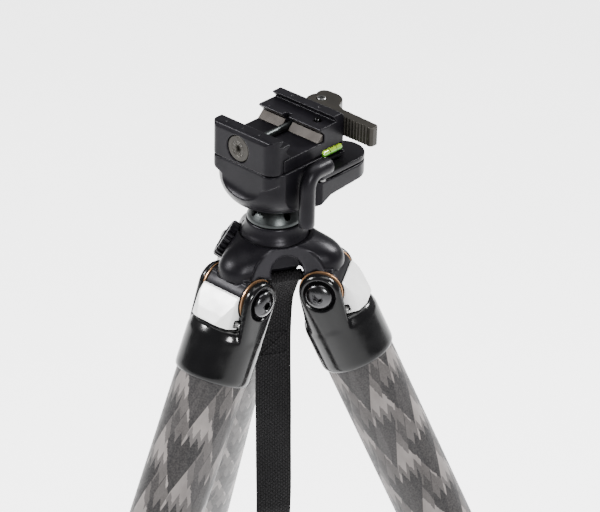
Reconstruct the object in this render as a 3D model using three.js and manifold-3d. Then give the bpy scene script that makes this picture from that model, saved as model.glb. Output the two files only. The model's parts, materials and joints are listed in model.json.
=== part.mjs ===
// Photographic tripod with an inverted ball head, a lever clamp and a hanging strap.
// Millimetres, +Z up. Each piece is modelled about the tripod's own axis, with heights
// measured from the hub's datum plane, and the finished tripod is then stood on z = 0.
import * as THREE from "three";
import { mergeVertices } from "three/addons/utils/BufferGeometryUtils.js";
import Module from "manifold-3d";

const wasm = await Module();
wasm.setup();

// ---------- driving dimensions ----------
const GAP = 0.3; // clearance between pieces that touch

const SPLAY = THREE.MathUtils.degToRad(25.3); // leg angle from the vertical
const LEGS = { front: -90, right: 30, left: 150 }; // leg name and its azimuth in degrees
const PIVOT_RADIUS = 27.7; // tripod axis to leg pivot
const PIVOT_HEIGHT = 18.8;
const LEG_INSET = 1.5; // leg axis, inward from the pivot

const LUG_RADIUS = 11.5; // hub lug, washers and yoke ears share one outline
const LUG_HALF_WIDTH = 12.4;
const WASHER_THICKNESS = 0.9;
const EAR_INNER = LUG_HALF_WIDTH + WASHER_THICKNESS + 2 * GAP;
const EAR_OUTER = 18.4;
const AXLE_RADIUS = 4;
const BUTTON_RADIUS = 6.9;

const SECTION_LENGTH = 430;
const SECTION_EXTENSION = 190; // tube showing below each lock collar
const TUBES = [
  { outer: 18.4, inner: 16.7 },
  { outer: 16.3, inner: 14.7 },
  { outer: 14.3, inner: 12.8 },
];
const TUBE_TOP = 22; // first tube's top, along the leg from the pivot
const YOKE_RADIUS = 20;
const YOKE_END = 46;
const COLLAR_LENGTH = 36;
const COLLAR_LAP = 8; // length of collar that covers its tube
const FOOT_RADIUS = 15;

const TAB_HALF_WIDTH = 12.4;
const TAB_END = 16.8;
const TAB_PIN = [8.4, 13.6]; // outward and along the leg

const LOBE_DISTANCE = 25.6; // tripod axis to the middle of each rounded lobe over a leg
const LOBE_RADIUS = 11.2;
const HUB_SIDE = LOBE_DISTANCE / 2 + LOBE_RADIUS; // flat sides between the lobes
const HUB_UNDERSIDE = 28.6;
const BOSS_RADIUS = 13;
const BOSS_BOTTOM = 23.6;
const NECK_TOP = 51.4;
const NECK_FOOT = 42.7;

const BALL_RADIUS = 12;
const BALL_HEIGHT = 74;
const LINER = [12.3, 13.1];
const CUP = [13.4, 14.2];
const SOCKET_RADIUS = 14.5;
const RING_HEIGHT = 51.9;

const CLAMP_HALF = 21; // half the clamp's length
const CLAMP_FRONT = -17;
const CLAMP_REAR = 27;
const CLAMP_BOTTOM = 90.3;
const SEAT_HEIGHT = 97; // floor of the plate channel
const STEP_HEIGHT = 105; // ledges of the accessory channel
const LIP_HEIGHT = 108.7;
const JAW_FRONT = -25.5;
const ROD_HEIGHT = 98.6;
const ROD_X = -2.5;

const EXTENSION_TOP = 85;
const LEVER_PIVOT = [ROD_X, 36.3];
const LEVER_TOP = 105;
const LEVER_BOTTOM = 94.4;
const LOCK_PIVOT = [27.2, 4];

const STRAP_WIDTH = 19;
const STRAP_THICKNESS = 2.6;
const STRAP_END = -135;
const SLOT_AZIMUTH = -30;
const STRAP_BAR = [16.8, 25.4]; // distance from the axis, and height
const STRAP_BAR_RADIUS = 1.5;

const KNOB_RADIUS = 10.4;
const KNOB_AZIMUTH = 210;
const KNOB_TILT = 30;
const KNOB_SEAT = [22.4, 0, 33.4];

// ---------- materials ----------
const finish = (color, roughness, metalness) =>
  new THREE.MeshStandardMaterial({ color, roughness, metalness });
const BLACK_ANODISED = finish(0x232226, 0.5, 0.6);
const BLACK_ENAMEL = finish(0x0c0c0e, 0.15, 0.3);
const BLACK_SCREW = finish(0x2a2a2c, 0.3, 0.9);
const OLIVE_ANODISED = finish(0x4a4642, 0.5, 0.7);
const STEEL = finish(0x7d8484, 0.25, 1);
const SILVER = finish(0xe6e6e4, 0.3, 0.6);
const BRONZE = finish(0x9a6f4c, 0.35, 0.9);
const CARBON = finish(0x8f8685, 0.5, 0.1);
const RUBBER = finish(0x1a1a1a, 0.9, 0);
const POLYMER = finish(0xb8b4a6, 0.6, 0);
const VIAL = finish(0x9fd030, 0.1, 0);
const WEBBING = finish(0x2b2a2c, 0.95, 0);

// ---------- solids ----------
// A closed three.js geometry as a manifold-3d solid, with its faces turned outwards.
function solid(geometry) {
  const bare = new THREE.BufferGeometry();
  bare.setAttribute("position", geometry.getAttribute("position").clone());
  bare.setIndex(geometry.index);
  const merged = mergeVertices(bare, 1e-4);
  const triangles = [];
  const corners = merged.index.array;
  for (let i = 0; i < corners.length; i += 3) {
    const [a, b, c] = corners.slice(i, i + 3);
    if (a !== b && b !== c && c !== a) triangles.push(a, b, c);
  }
  const build = (order) =>
    new wasm.Manifold(
      new wasm.Mesh({
        numProp: 3,
        vertProperties: merged.attributes.position.array,
        triVerts: new Uint32Array(order),
      }),
    );
  const made = build(triangles);
  return made.volume() > 0 ? made : build(triangles.reverse());
}

function geometryOf(body) {
  const mesh = body.getMesh();
  const positions = new Float32Array(mesh.numVert * 3);
  for (let i = 0; i < mesh.numVert; i++) {
    const start = i * mesh.numProp;
    positions.set(mesh.vertProperties.subarray(start, start + 3), i * 3);
  }
  const geometry = new THREE.BufferGeometry();
  geometry.setAttribute("position", new THREE.BufferAttribute(positions, 3));
  geometry.setIndex(new THREE.BufferAttribute(mesh.triVerts.slice(), 1));
  geometry.computeVertexNormals();
  return geometry;
}

const join = (...bodies) => bodies.reduce((all, body) => all.add(body));
const cut = (body, ...tools) => tools.reduce((rest, tool) => rest.subtract(tool), body);
const common = (...bodies) => bodies.reduce((all, body) => all.intersect(body));

function box(x, y, z) {
  const geometry = new THREE.BoxGeometry(x[1] - x[0], y[1] - y[0], z[1] - z[0]);
  geometry.translate((x[0] + x[1]) / 2, (y[0] + y[1]) / 2, (z[0] + z[1]) / 2);
  return solid(geometry);
}

// Turns a profile of [radius, height] points about Z. The profile closes on itself or on the axis.
function turned(profile, segments = 20) {
  const points = profile.map(([r, z]) => new THREE.Vector2(r, z));
  const closed = profile[0][0] > 0 || profile.at(-1)[0] > 0;
  if (closed) points.push(points[0].clone());
  return solid(new THREE.LatheGeometry(points, segments).rotateX(Math.PI / 2));
}

// A rod from one point to another.
function rod(from, to, radius, segments = 12) {
  const start = new THREE.Vector3(...from);
  const span = new THREE.Vector3(...to).sub(start);
  const geometry = new THREE.CylinderGeometry(radius, radius, span.length(), segments);
  const up = new THREE.Vector3(0, 1, 0);
  geometry.applyQuaternion(
    new THREE.Quaternion().setFromUnitVectors(up, span.clone().normalize()),
  );
  geometry.translate(...start.addScaledVector(span, 0.5).toArray());
  return solid(geometry);
}

const ball = (radius, height, across = 16, rings = 8) =>
  solid(
    new THREE.SphereGeometry(radius, across, rings).rotateX(Math.PI / 2).translate(0, 0, height),
  );

// Extrudes an outline drawn in XY from z[0] to z[1].
function plate(shape, z, curveSegments = 6) {
  const depth = z[1] - z[0];
  const options = { depth, bevelEnabled: false, curveSegments };
  return solid(new THREE.ExtrudeGeometry(shape, options).translate(0, 0, z[0]));
}

// Extrudes an outline drawn as [y, z] points along X.
function bar(shape, x, curveSegments = 6) {
  const depth = x[1] - x[0];
  const geometry = new THREE.ExtrudeGeometry(shape, { depth, bevelEnabled: false, curveSegments });
  geometry.applyMatrix4(new THREE.Matrix4().set(0, 0, 1, x[0], 1, 0, 0, 0, 0, 1, 0, 0, 0, 0, 0, 1));
  return solid(geometry);
}

// Extrudes an outline drawn as [x, z] points along Y.
function slab(shape, y, curveSegments = 6) {
  const depth = y[1] - y[0];
  const geometry = new THREE.ExtrudeGeometry(shape, { depth, bevelEnabled: false, curveSegments });
  geometry.applyMatrix4(
    new THREE.Matrix4().set(1, 0, 0, 0, 0, 0, -1, y[1], 0, 1, 0, 0, 0, 0, 0, 1),
  );
  return solid(geometry);
}

const moved = (body, x, y, z) => solid(geometryOf(body).translate(x, y, z));

const outline = (points) => new THREE.Shape(points.map(([a, b]) => new THREE.Vector2(a, b)));

function turnedAboutZ(body, degrees) {
  const geometry = geometryOf(body);
  return solid(geometry.rotateZ(THREE.MathUtils.degToRad(degrees)));
}

// Points of a circular arc about [a, b], angles in degrees.
function arc(a, b, radius, from, to, steps) {
  return Array.from({ length: steps + 1 }, (_, i) => {
    const angle = THREE.MathUtils.degToRad(from + ((to - from) * i) / steps);
    return [a + radius * Math.cos(angle), b + radius * Math.sin(angle)];
  });
}

// ---------- scene graph ----------
const tripod = new THREE.Group();

function place(parent, name, body, material) {
  const mesh = new THREE.Mesh(geometryOf(body), material);
  mesh.name = name;
  parent.add(mesh);
}

// ---------- legs ----------
// In a leg's own frame the pivot is the origin, +X points outward, Y runs along the pivot
// and the leg goes down -Z, with its tubes about x = -LEG_INSET.
const onTube = (body) => moved(body, -LEG_INSET, 0, 0);

function legYoke() {
  const socket = onTube(turned([
    [0, -12.5], [13.5, -12.5], [18.2, -15], [YOKE_RADIUS, -18.5],
    [YOKE_RADIUS, 2 - YOKE_END], [YOKE_RADIUS - 1.2, -YOKE_END], [0, -YOKE_END],
  ]));
  const earOutline = new THREE.Shape();
  earOutline.absarc(0, 0, LUG_RADIUS, 0, Math.PI, false);
  earOutline.lineTo(-LUG_RADIUS - 1.5, -22);
  earOutline.lineTo(LUG_RADIUS - 1.5, -22);
  const trim = onTube(turned([
    [0, 20], [YOKE_RADIUS + 0.8, 20], [YOKE_RADIUS + 0.8, -30], [0, -30],
  ]));
  const ears = [-1, 1].map((side) => {
    const across = [side * EAR_INNER, side * EAR_OUTER].sort((p, q) => p - q);
    return common(slab(earOutline, across, 8), trim);
  });
  const tubeBore = onTube(turned([
    [0, -TUBE_TOP + GAP], [TUBES[0].outer + GAP, -TUBE_TOP + GAP],
    [TUBES[0].outer + GAP, -YOKE_END - 1], [0, -YOKE_END - 1],
  ]));
  const lugRoom = rod([0, -EAR_INNER, 0], [0, EAR_INNER, 0], LUG_RADIUS + 2 * GAP, 16);
  const tabRoom = box([4.6, 30], [-EAR_INNER, EAR_INNER], [-TAB_END - GAP, 20]);
  const insideRoom = box([-30, 0], [-EAR_INNER, EAR_INNER], [-11, 20]);
  return cut(
    join(socket, ...ears),
    tubeBore,
    lugRoom,
    tabRoom,
    insideRoom,
    rod([0, -30, 0], [0, 30, 0], AXLE_RADIUS + GAP, 12),
    rod([TAB_PIN[0], -16.3, -TAB_PIN[1]], [TAB_PIN[0], 16.3, -TAB_PIN[1]], 1.5 + GAP, 8),
  );
}

// The axle through both ears, with a domed button head and hex socket at each end.
function pivotBolt() {
  const head = (side) => {
    const dome = turned([
      [0, 0], [BUTTON_RADIUS, 0], [BUTTON_RADIUS, 1.2], [5, 3.1], [0, 3.9],
    ], 12);
    const socket = turned([[0, 1.6], [2.3, 1.6], [2.3, 5], [0, 5]], 6);
    const geometry = geometryOf(cut(dome, socket));
    geometry.rotateX(-side * Math.PI / 2).translate(0, side * (EAR_OUTER + GAP), 0);
    return solid(geometry);
  };
  const reach = EAR_OUTER + GAP + 0.5;
  return join(rod([0, -reach, 0], [0, reach, 0], AXLE_RADIUS, 12), head(-1), head(1));
}

function pivotWasher(side) {
  const inner = LUG_HALF_WIDTH + GAP;
  const disc = turned([
    [AXLE_RADIUS + GAP, 0], [LUG_RADIUS, 0], [LUG_RADIUS, WASHER_THICKNESS],
    [AXLE_RADIUS + GAP, WASHER_THICKNESS],
  ], 16);
  const geometry = geometryOf(disc).rotateX(-side * Math.PI / 2);
  return solid(geometry.translate(0, side * inner, 0));
}

// Angle tab: it pulls straight out on its pin, clear of the hub's lug.
function angleTab() {
  const profile = outline([
    [11.6, 1], [12.8, 0.2], [14.6, -5], [16.4, -11], [17.6, -TAB_END], [6.4, -TAB_END], [5, -13],
  ]);
  const body = slab(profile, [-TAB_HALF_WIDTH, TAB_HALF_WIDTH]);
  const inYoke = onTube(turned([[0, 5], [YOKE_RADIUS, 5], [YOKE_RADIUS, -30], [0, -30]], 28));
  const lugRoom = rod([0, -20, 0], [0, 20, 0], LUG_RADIUS + GAP, 24);
  const [pinOut, pinDown] = TAB_PIN;
  const half = 1.5 + GAP;
  const slot = box([0, pinOut + half], [-20, 20], [-pinDown - half, -pinDown + half]);
  return cut(common(body, inYoke), lugRoom, slot);
}

const tabPin = () =>
  rod([TAB_PIN[0], -16, -TAB_PIN[1]], [TAB_PIN[0], 16, -TAB_PIN[1]], 1.5, 8);

function tube(size, top) {
  const bottom = top + SECTION_LENGTH;
  return onTube(turned([
    [size.inner, -bottom], [size.outer, -bottom], [size.outer, -top], [size.inner, -top],
  ], 32));
}

// Twist collar on the end of one tube, closing on the next.
function lockCollar(size, nextSize, top) {
  const grip = size.outer + 3.2;
  const nose = nextSize.outer + 1.6;
  return onTube(turned([
    [size.outer + GAP, -top], [grip - 0.8, -top], [grip, -top - 2], [grip, -top - 24],
    [grip - 1.6, -top - 30], [nose, -top - COLLAR_LENGTH],
    [nextSize.outer + GAP, -top - COLLAR_LENGTH],
    [nextSize.outer + GAP, -top - COLLAR_LAP - GAP], [size.outer + GAP, -top - COLLAR_LAP - GAP],
  ], 32));
}

// Rubber foot: a sleeve over the tube's end with a rounded tread.
function rubberFoot(tubeEnd) {
  const size = TUBES[2];
  const centre = tubeEnd + 12;
  const splay = THREE.MathUtils.radToDeg(SPLAY);
  const tread = [
    ...arc(0, -centre, FOOT_RADIUS, -90, -90 + splay, 2),
    ...arc(0, -centre, FOOT_RADIUS, -60, 0, 3),
  ];
  return onTube(turned([
    ...tread, [FOOT_RADIUS + 1.4, -centre + 3], [FOOT_RADIUS + 1.4, -tubeEnd + 13],
    [FOOT_RADIUS + 0.4, -tubeEnd + 16], [size.outer + GAP, -tubeEnd + 16],
    [size.outer + GAP, -tubeEnd - GAP], [0, -tubeEnd - GAP],
  ], 16));
}

function addLeg(name, azimuth) {
  const turn = new THREE.Group();
  turn.rotation.z = THREE.MathUtils.degToRad(azimuth);
  const leg = new THREE.Group();
  leg.position.set(PIVOT_RADIUS, 0, PIVOT_HEIGHT);
  leg.rotation.y = -SPLAY;
  tripod.add(turn);
  turn.add(leg);

  const step = COLLAR_LENGTH - COLLAR_LAP + SECTION_EXTENSION;
  const tops = [TUBE_TOP, TUBE_TOP + step, TUBE_TOP + 2 * step];
  const ends = tops.map((top) => top + SECTION_LENGTH);
  place(leg, `${name}_yoke`, legYoke(), BLACK_ENAMEL);
  place(leg, `${name}_pivot_bolt`, pivotBolt(), BLACK_SCREW);
  place(leg, `${name}_washer_a`, pivotWasher(-1), BRONZE);
  place(leg, `${name}_washer_b`, pivotWasher(1), BRONZE);
  place(leg, `${name}_angle_tab`, angleTab(), SILVER);
  place(leg, `${name}_tab_pin`, tabPin(), STEEL);
  place(leg, `${name}_upper_tube`, tube(TUBES[0], tops[0]), CARBON);
  place(leg, `${name}_upper_lock`, lockCollar(TUBES[0], TUBES[1], ends[0] - COLLAR_LAP), RUBBER);
  place(leg, `${name}_middle_tube`, tube(TUBES[1], tops[1]), CARBON);
  place(leg, `${name}_lower_lock`, lockCollar(TUBES[1], TUBES[2], ends[1] - COLLAR_LAP), RUBBER);
  place(leg, `${name}_lower_tube`, tube(TUBES[2], tops[2]), CARBON);
  place(leg, `${name}_foot`, rubberFoot(ends[2]), RUBBER);
}

// ---------- hub ----------
const radial = (distance, azimuth, height) => {
  const angle = THREE.MathUtils.degToRad(azimuth);
  return [distance * Math.cos(angle), distance * Math.sin(angle), height];
};

// One lug: a barrel for the leg's axle, hung from the hub on a short web.
function hubLug(azimuth) {
  const bored = (radius, half, segments) =>
    rod([PIVOT_RADIUS, -half, PIVOT_HEIGHT], [PIVOT_RADIUS, half, PIVOT_HEIGHT], radius, segments);
  const web = box([19.6, 33], [-LUG_HALF_WIDTH, LUG_HALF_WIDTH],
    [PIVOT_HEIGHT, HUB_UNDERSIDE + 1]);
  const lug = cut(
    join(bored(LUG_RADIUS, LUG_HALF_WIDTH, 20), web),
    bored(AXLE_RADIUS + GAP, 30, 12),
  );
  return turnedAboutZ(lug, azimuth);
}

// Room for one leg's ears, washers and bolt heads, which turn about the leg's axle.
function earRoom(azimuth) {
  const about = (from, to, radius) =>
    rod([PIVOT_RADIUS, from, PIVOT_HEIGHT], [PIVOT_RADIUS, to, PIVOT_HEIGHT], radius, 20);
  const inner = LUG_HALF_WIDTH + 0.15;
  const rooms = [-1, 1].map((side) =>
    join(
      about(side * inner, side * (EAR_OUTER + 2 * GAP), LUG_RADIUS + 2 * GAP),
      about(side * EAR_OUTER, side * (EAR_OUTER + 5), BUTTON_RADIUS + 2 * GAP),
    ),
  );
  return turnedAboutZ(join(...rooms), azimuth);
}

// Skirt between two legs, below the dome.
const hubSkirt = (azimuth) =>
  turnedAboutZ(box([12, HUB_SIDE - 0.4], [-9, 9], [BOSS_BOTTOM + 1, HUB_UNDERSIDE + 1]), azimuth);

// How far a direction points at a lobe: 1 over a leg, 0 midway between two legs.
function lobeShare(azimuth) {
  const third = (2 * Math.PI) / 3;
  const start = THREE.MathUtils.degToRad(LEGS.right);
  const away = Math.abs(azimuth - start - third * Math.round((azimuth - start) / third));
  const tangent = Math.atan2(LOBE_RADIUS * Math.sin(Math.PI / 3), LOBE_DISTANCE + LOBE_RADIUS / 2);
  const aside = LOBE_DISTANCE * Math.sin(away);
  const reach = away < tangent
    ? LOBE_DISTANCE * Math.cos(away) + Math.sqrt(LOBE_RADIUS ** 2 - aside ** 2)
    : HUB_SIDE / Math.cos(Math.PI / 3 - away);
  return (reach - HUB_SIDE) / (LOBE_DISTANCE + LOBE_RADIUS - HUB_SIDE);
}

// Three-lobed dome: the first profile runs over the lobes and the second between them.
function hubDome() {
  const lobe = [[0, HUB_UNDERSIDE], [36.8, HUB_UNDERSIDE], [36.4, 33], [35, 35.8], [32.2, 38.6],
    [27, 41.6], [20.4, 44.4], [18.2, 44.4], [18.2, NECK_FOOT], [0, NECK_FOOT]];
  const side = [[0, HUB_UNDERSIDE], [24, HUB_UNDERSIDE], [23.8, 32.6], [22.9, 35.2], [21.8, 37.6],
    [20.6, 40], [19.2, 43], [18.2, 43], [18.2, NECK_FOOT], [0, NECK_FOOT]];
  const geometry = new THREE.LatheGeometry(side.map(([r, z]) => new THREE.Vector2(r, z)), 36);
  geometry.rotateX(Math.PI / 2);
  const position = geometry.getAttribute("position");
  for (let i = 0; i < position.count; i++) {
    const azimuth = Math.atan2(position.getY(i), position.getX(i));
    const share = lobeShare(azimuth);
    const point = i % side.length;
    const reach = THREE.MathUtils.lerp(side[point][0], lobe[point][0], share);
    const height = THREE.MathUtils.lerp(side[point][1], lobe[point][1], share);
    position.setXYZ(i, reach * Math.cos(azimuth), reach * Math.sin(azimuth), height);
  }
  return solid(geometry);
}

// Hub: the dome with a lug under each lobe and a boss round the head's stud.
function apexHub() {
  const azimuths = Object.values(LEGS);
  const skirts = [90, KNOB_AZIMUTH].map(hubSkirt);
  const boss = rod([0, 0, BOSS_BOTTOM], [0, 0, HUB_UNDERSIDE + 1], BOSS_RADIUS, 24);
  const body = cut(
    join(hubDome(), boss, ...azimuths.map(hubLug), ...skirts),
    ...azimuths.map(earRoom),
  );
  const facet = rod(radial(26.2, SLOT_AZIMUTH, 25.1), radial(44.4, SLOT_AZIMUTH, 33.4), 20.5, 24);
  const arch = rod(radial(18, SLOT_AZIMUTH, 29.5), radial(40, SLOT_AZIMUTH, 35), 8.6, 16);
  const eyeRoom = turnedAboutZ(box([13.2, 22], [-10, 10], [20, HUB_UNDERSIDE + 2]), SLOT_AZIMUTH);
  const studBore = turned([[0, 0], [6.3, 0], [6.3, 60], [0, 60]], 12);
  const studRoom = turned([[0, 0], [8.8, 0], [8.8, 27.4], [0, 27.4]], 16);
  const knobBore = knobFrame(rod([0, 0, -13.6], [0, 0, 5], 3.2 + GAP, 12));
  const knobSeat = knobFrame(rod([0, 0, -GAP], [0, 0, 30], KNOB_RADIUS + 1, 24));
  const barBore = strapBar(STRAP_BAR_RADIUS + GAP, 13);
  return cut(body, facet, arch, eyeRoom, studBore, studRoom, knobBore, knobSeat, barBore);
}

// Pin that the strap hangs from, across the gap between two lugs.
function strapBar(radius, half) {
  const middle = new THREE.Vector3(...radial(STRAP_BAR[0], SLOT_AZIMUTH, STRAP_BAR[1]));
  const along = new THREE.Vector3(...radial(half, SLOT_AZIMUTH + 90, 0));
  const from = middle.clone().sub(along);
  const to = middle.clone().add(along);
  return rod(from.toArray(), to.toArray(), radius, 10);
}

function headBase() {
  return turned([
    [6.3, NECK_FOOT + GAP], [17.6, NECK_FOOT + GAP], [17.2, NECK_FOOT + 2], [15.8, 46.6],
    [15.1, 50.6], [14.6, NECK_TOP], [6.3, NECK_TOP],
  ], 32);
}

// Stud that draws the head down on the hub, with a round head below for the thumb screw.
function mountingStud() {
  const shaft = rod([0, 0, 25], [0, 0, RING_HEIGHT - 2], 6, 12);
  const head = rod([0, 0, BOSS_BOTTOM], [0, 0, 27], 8.2, 16);
  return join(shaft, head);
}

// Moves a piece made about Z, facing +Z, to the thumb screw's seat on the hub.
function knobFrame(body) {
  const geometry = geometryOf(body);
  geometry.rotateY(Math.PI / 2 - THREE.MathUtils.degToRad(KNOB_TILT));
  geometry.translate(...KNOB_SEAT);
  return turnedAboutZ(solid(geometry), KNOB_AZIMUTH);
}

// Knurled thumb screw that locks the head's stud in the hub.
function apexLockKnob() {
  const teeth = 14;
  const rim = new THREE.Shape();
  for (let i = 0; i < teeth; i++) {
    const corners = [
      [0, KNOB_RADIUS], [0.35, KNOB_RADIUS], [0.55, KNOB_RADIUS - 1.4], [0.8, KNOB_RADIUS - 1.4],
    ];
    corners.forEach(([part, radius], corner) => {
      const angle = (2 * Math.PI * (i + part)) / teeth;
      const point = [radius * Math.cos(angle), radius * Math.sin(angle)];
      if (i === 0 && corner === 0) rim.moveTo(...point);
      else rim.lineTo(...point);
    });
  }
  const grip = plate(rim, [0, 5.4]);
  const crown = turned([[0, 0], [10, 0], [11, 1.2], [11, 4], [9, 5.2], [0, 5.4]], 16);
  const shank = rod([0, 0, -13], [0, 0, 1], 3.2, 12);
  return knobFrame(join(common(grip, crown), shank));
}

// Strap: a sewn eye round the bar, then in under the hub and down beside the tripod's axis.
const STRAP_PATH = [
  [15.1, 23.9], [12.2, 20.2], [7.2, 12.6], [2.6, 3], [0.6, -16], [0, -60], [0, STRAP_END],
];
function hangingStrap() {
  const spine = new THREE.CatmullRomCurve3(
    STRAP_PATH.map(([d, z]) => new THREE.Vector3(d, 0, z)), false, "centripetal",
  );
  const half = STRAP_THICKNESS / 2;
  const points = spine.getSpacedPoints(20);
  const sides = [1, -1].map((sign) =>
    points.map((point, i) => {
      const tangent = spine.getTangentAt(i / 20);
      return [point.x - sign * half * tangent.z, point.z + sign * half * tangent.x];
    }),
  );
  const ribbon = outline([...sides[0], ...sides[1].reverse()]);
  const hole = STRAP_BAR_RADIUS + GAP;
  const eye = outline(arc(...STRAP_BAR, hole + half, 0, 345, 14));
  const opening = outline(arc(...STRAP_BAR, hole, 0, 330, 11));
  const width = [-STRAP_WIDTH / 2, STRAP_WIDTH / 2];
  const strap = cut(join(slab(ribbon, width), slab(eye, width)), slab(opening, [-30, 30]));
  return turnedAboutZ(strap, SLOT_AZIMUTH);
}

function addHub() {
  place(tripod, "apex_hub", apexHub(), BLACK_ANODISED);
  place(tripod, "head_base", headBase(), BLACK_ANODISED);
  place(tripod, "mounting_stud", mountingStud(), STEEL);
  place(tripod, "apex_lock_knob", apexLockKnob(), BLACK_ANODISED);
  place(tripod, "strap_bar", strapBar(STRAP_BAR_RADIUS, 12.6), STEEL);
  place(tripod, "strap", hangingStrap(), WEBBING);
}

// ---------- ball head ----------
// Ball on a short stem; below it a cone ring with four tommy-bar holes.
function ballStem() {
  const ring = turned([
    [0, RING_HEIGHT - 0.2], [14.4, RING_HEIGHT - 0.2], [14.4, 53.4], [12.9, 56.2],
    [11.6, 57.8], [8.6, 59.8], [6, 60.6], [6, 66], [0, 66],
  ], 24);
  const holes = [-16.8, 73.2].map((azimuth) =>
    rod(radial(-20, azimuth, 57), radial(20, azimuth, 57), 1.8, 6),
  );
  const studBore = rod([0, 0, 40], [0, 0, RING_HEIGHT - 1], 6.3, 16);
  const sphere = ball(BALL_RADIUS, BALL_HEIGHT);
  return cut(join(ring, sphere), studBore, ...holes);
}

// A shell between two spheres about the ball's centre, from one latitude to another.
function shell([inner, outer], fromLatitude, toLatitude, steps) {
  return turned([
    ...arc(0, BALL_HEIGHT, outer, fromLatitude, toLatitude, steps),
    ...arc(0, BALL_HEIGHT, inner, toLatitude, fromLatitude, steps),
  ], 16);
}

// Plan shared by the front jaw and the housing under it: rounded at the front corners.
function jawPlan(rear) {
  const plan = new THREE.Shape();
  plan.moveTo(-CLAMP_HALF, rear);
  plan.lineTo(-CLAMP_HALF, JAW_FRONT + 4);
  plan.absarc(-CLAMP_HALF + 4, JAW_FRONT + 4, 4, Math.PI, 1.5 * Math.PI, false);
  plan.absarc(CLAMP_HALF - 6.5, JAW_FRONT + 6.5, 6.5, 1.5 * Math.PI, 2 * Math.PI, false);
  plan.lineTo(CLAMP_HALF, rear);
  return plan;
}

// Housing: a bowl round the ball, a shield-shaped front and a split clamping ear.
function headHousing() {
  const bowl = turned([
    [13.6, 63.3], [17, 63.3], [21.2, 64.8], [25, 68], [27.6, 72.4], [28.6, 77],
    [28.6, 90], [0, 90], [0, 60],
  ], 28);
  const trimmed = common(bowl, box([-26.5, 22.5], [-25.2, 30], [60, 90]));
  const shield = new THREE.Shape();
  shield.moveTo(-CLAMP_HALF, 90);
  shield.lineTo(-CLAMP_HALF, 84.5);
  shield.quadraticCurveTo(-16, 80.2, 3, 78);
  shield.quadraticCurveTo(14, 79.5, CLAMP_HALF, 84.5);
  shield.lineTo(CLAMP_HALF, 90);
  const plan = jawPlan(26);
  const block = common(slab(shield, [JAW_FRONT, 26]), plate(plan, [60, 95], 5));
  const earPlan = new THREE.Shape();
  earPlan.moveTo(-6, 0);
  earPlan.lineTo(26, -1.5);
  earPlan.lineTo(29.8, 2);
  earPlan.lineTo(29.8, 28);
  earPlan.absarc(18, 29.4, 11.8, 0, Math.PI * 0.72, false);
  earPlan.lineTo(-6, 26);
  const earSide = outline([
    [-10, 86], [-10, 66.4], [-2, 66.4], [3, 69], [9, 71.8], [30, 73], [50, 74], [50, 86],
  ]);
  const ear = common(plate(earPlan, [60, 90], 9), bar(earSide, [-10, 40]));
  const body = join(trimmed, block, ear);
  const lowDeck = box([-40, 40], [10.4, 60], [EXTENSION_TOP, 95]);
  const sideDeck = box([22.5, 40], [-10, 60], [EXTENSION_TOP, 95]);
  const socket = ball(SOCKET_RADIUS, BALL_HEIGHT, 20, 10);
  const mouth = turned([[0, 60], [13.6, 60], [13.6, 63], [11.4, 65.4], [0, 65.4]], 20);
  const split = box([8, 60], [0.5, 60], [80.4, 82.2]);
  const lockBore = rod([...LOCK_PIVOT, 50], [...LOCK_PIVOT, 100], 2.3 + GAP, 12);
  return cut(body, lowDeck, sideDeck, socket, mouth, split, lockBore);
}

// J-shaped ball lock lever: a short arm over the ear, then a drop beside the bowl.
function lockLever() {
  const x = 28;
  const path = new THREE.CurvePath();
  const corner = new THREE.CubicBezierCurve3(
    new THREE.Vector3(x, -1.4, 89.2), new THREE.Vector3(x, -5.6, 89.2),
    new THREE.Vector3(x, -7.6, 86.6), new THREE.Vector3(x, -7.6, 81.4),
  );
  path.add(new THREE.LineCurve3(new THREE.Vector3(x, 8, 89.2), corner.v0));
  path.add(corner);
  path.add(new THREE.LineCurve3(corner.v3, new THREE.Vector3(x, -7.6, 59.6)));
  const section = new THREE.Shape();
  section.absellipse(0, 0, 3.4, 3.8, 0, 2 * Math.PI, false);
  const geometry = new THREE.ExtrudeGeometry(section, {
    steps: 14, curveSegments: 5, extrudePath: path,
  });
  return solid(geometry);
}

// Clamp screw through the ear's two halves.
const lockScrew = () => rod([...LOCK_PIVOT, 71], [...LOCK_PIVOT, EXTENSION_TOP], 2.3, 12);

// ---------- clamp ----------
function clampBody() {
  const floorOutline = outline([
    [CLAMP_FRONT, CLAMP_BOTTOM], [10.8, CLAMP_BOTTOM], [10.8, 85.6], [CLAMP_REAR, 85.6],
    [CLAMP_REAR, 107], [CLAMP_REAR - 1.6, LIP_HEIGHT], [19.4, LIP_HEIGHT], [19.4, 108],
    [22, STEP_HEIGHT], [9.6, STEP_HEIGHT], [9, 104.4], [12.4, 101], [12.4, SEAT_HEIGHT],
    [CLAMP_FRONT, SEAT_HEIGHT],
  ]);
  const body = bar(floorOutline, [-CLAMP_HALF, CLAMP_HALF]);
  const ledge = bar(outline([
    [10.8, 85.6], [CLAMP_REAR, 85.6], [CLAMP_REAR, 87.6], [10.8, 87.6],
  ]), [CLAMP_HALF - 2, CLAMP_HALF + 1.6]);
  const levelRecess = box([18.2, 30], [11.2, CLAMP_REAR - 1], [87.7, 92.4]);
  const rodGroove = box([ROD_X - 2, ROD_X + 2], [-30, 12.6], [SEAT_HEIGHT - 0.9, 110]);
  const rodBore = rod([ROD_X, -30, ROD_HEIGHT], [ROD_X, 40, ROD_HEIGHT], 1.7 + GAP, 12);
  const screwBore = rod([13, 16, STEP_HEIGHT - 3], [13, 16, STEP_HEIGHT + 1], 1.9, 10);
  const ballRoom = ball(SOCKET_RADIUS + 2, BALL_HEIGHT, 24, 12);
  return cut(join(body, ledge), levelRecess, rodGroove, rodBore, screwBore, ballRoom);
}

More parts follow.
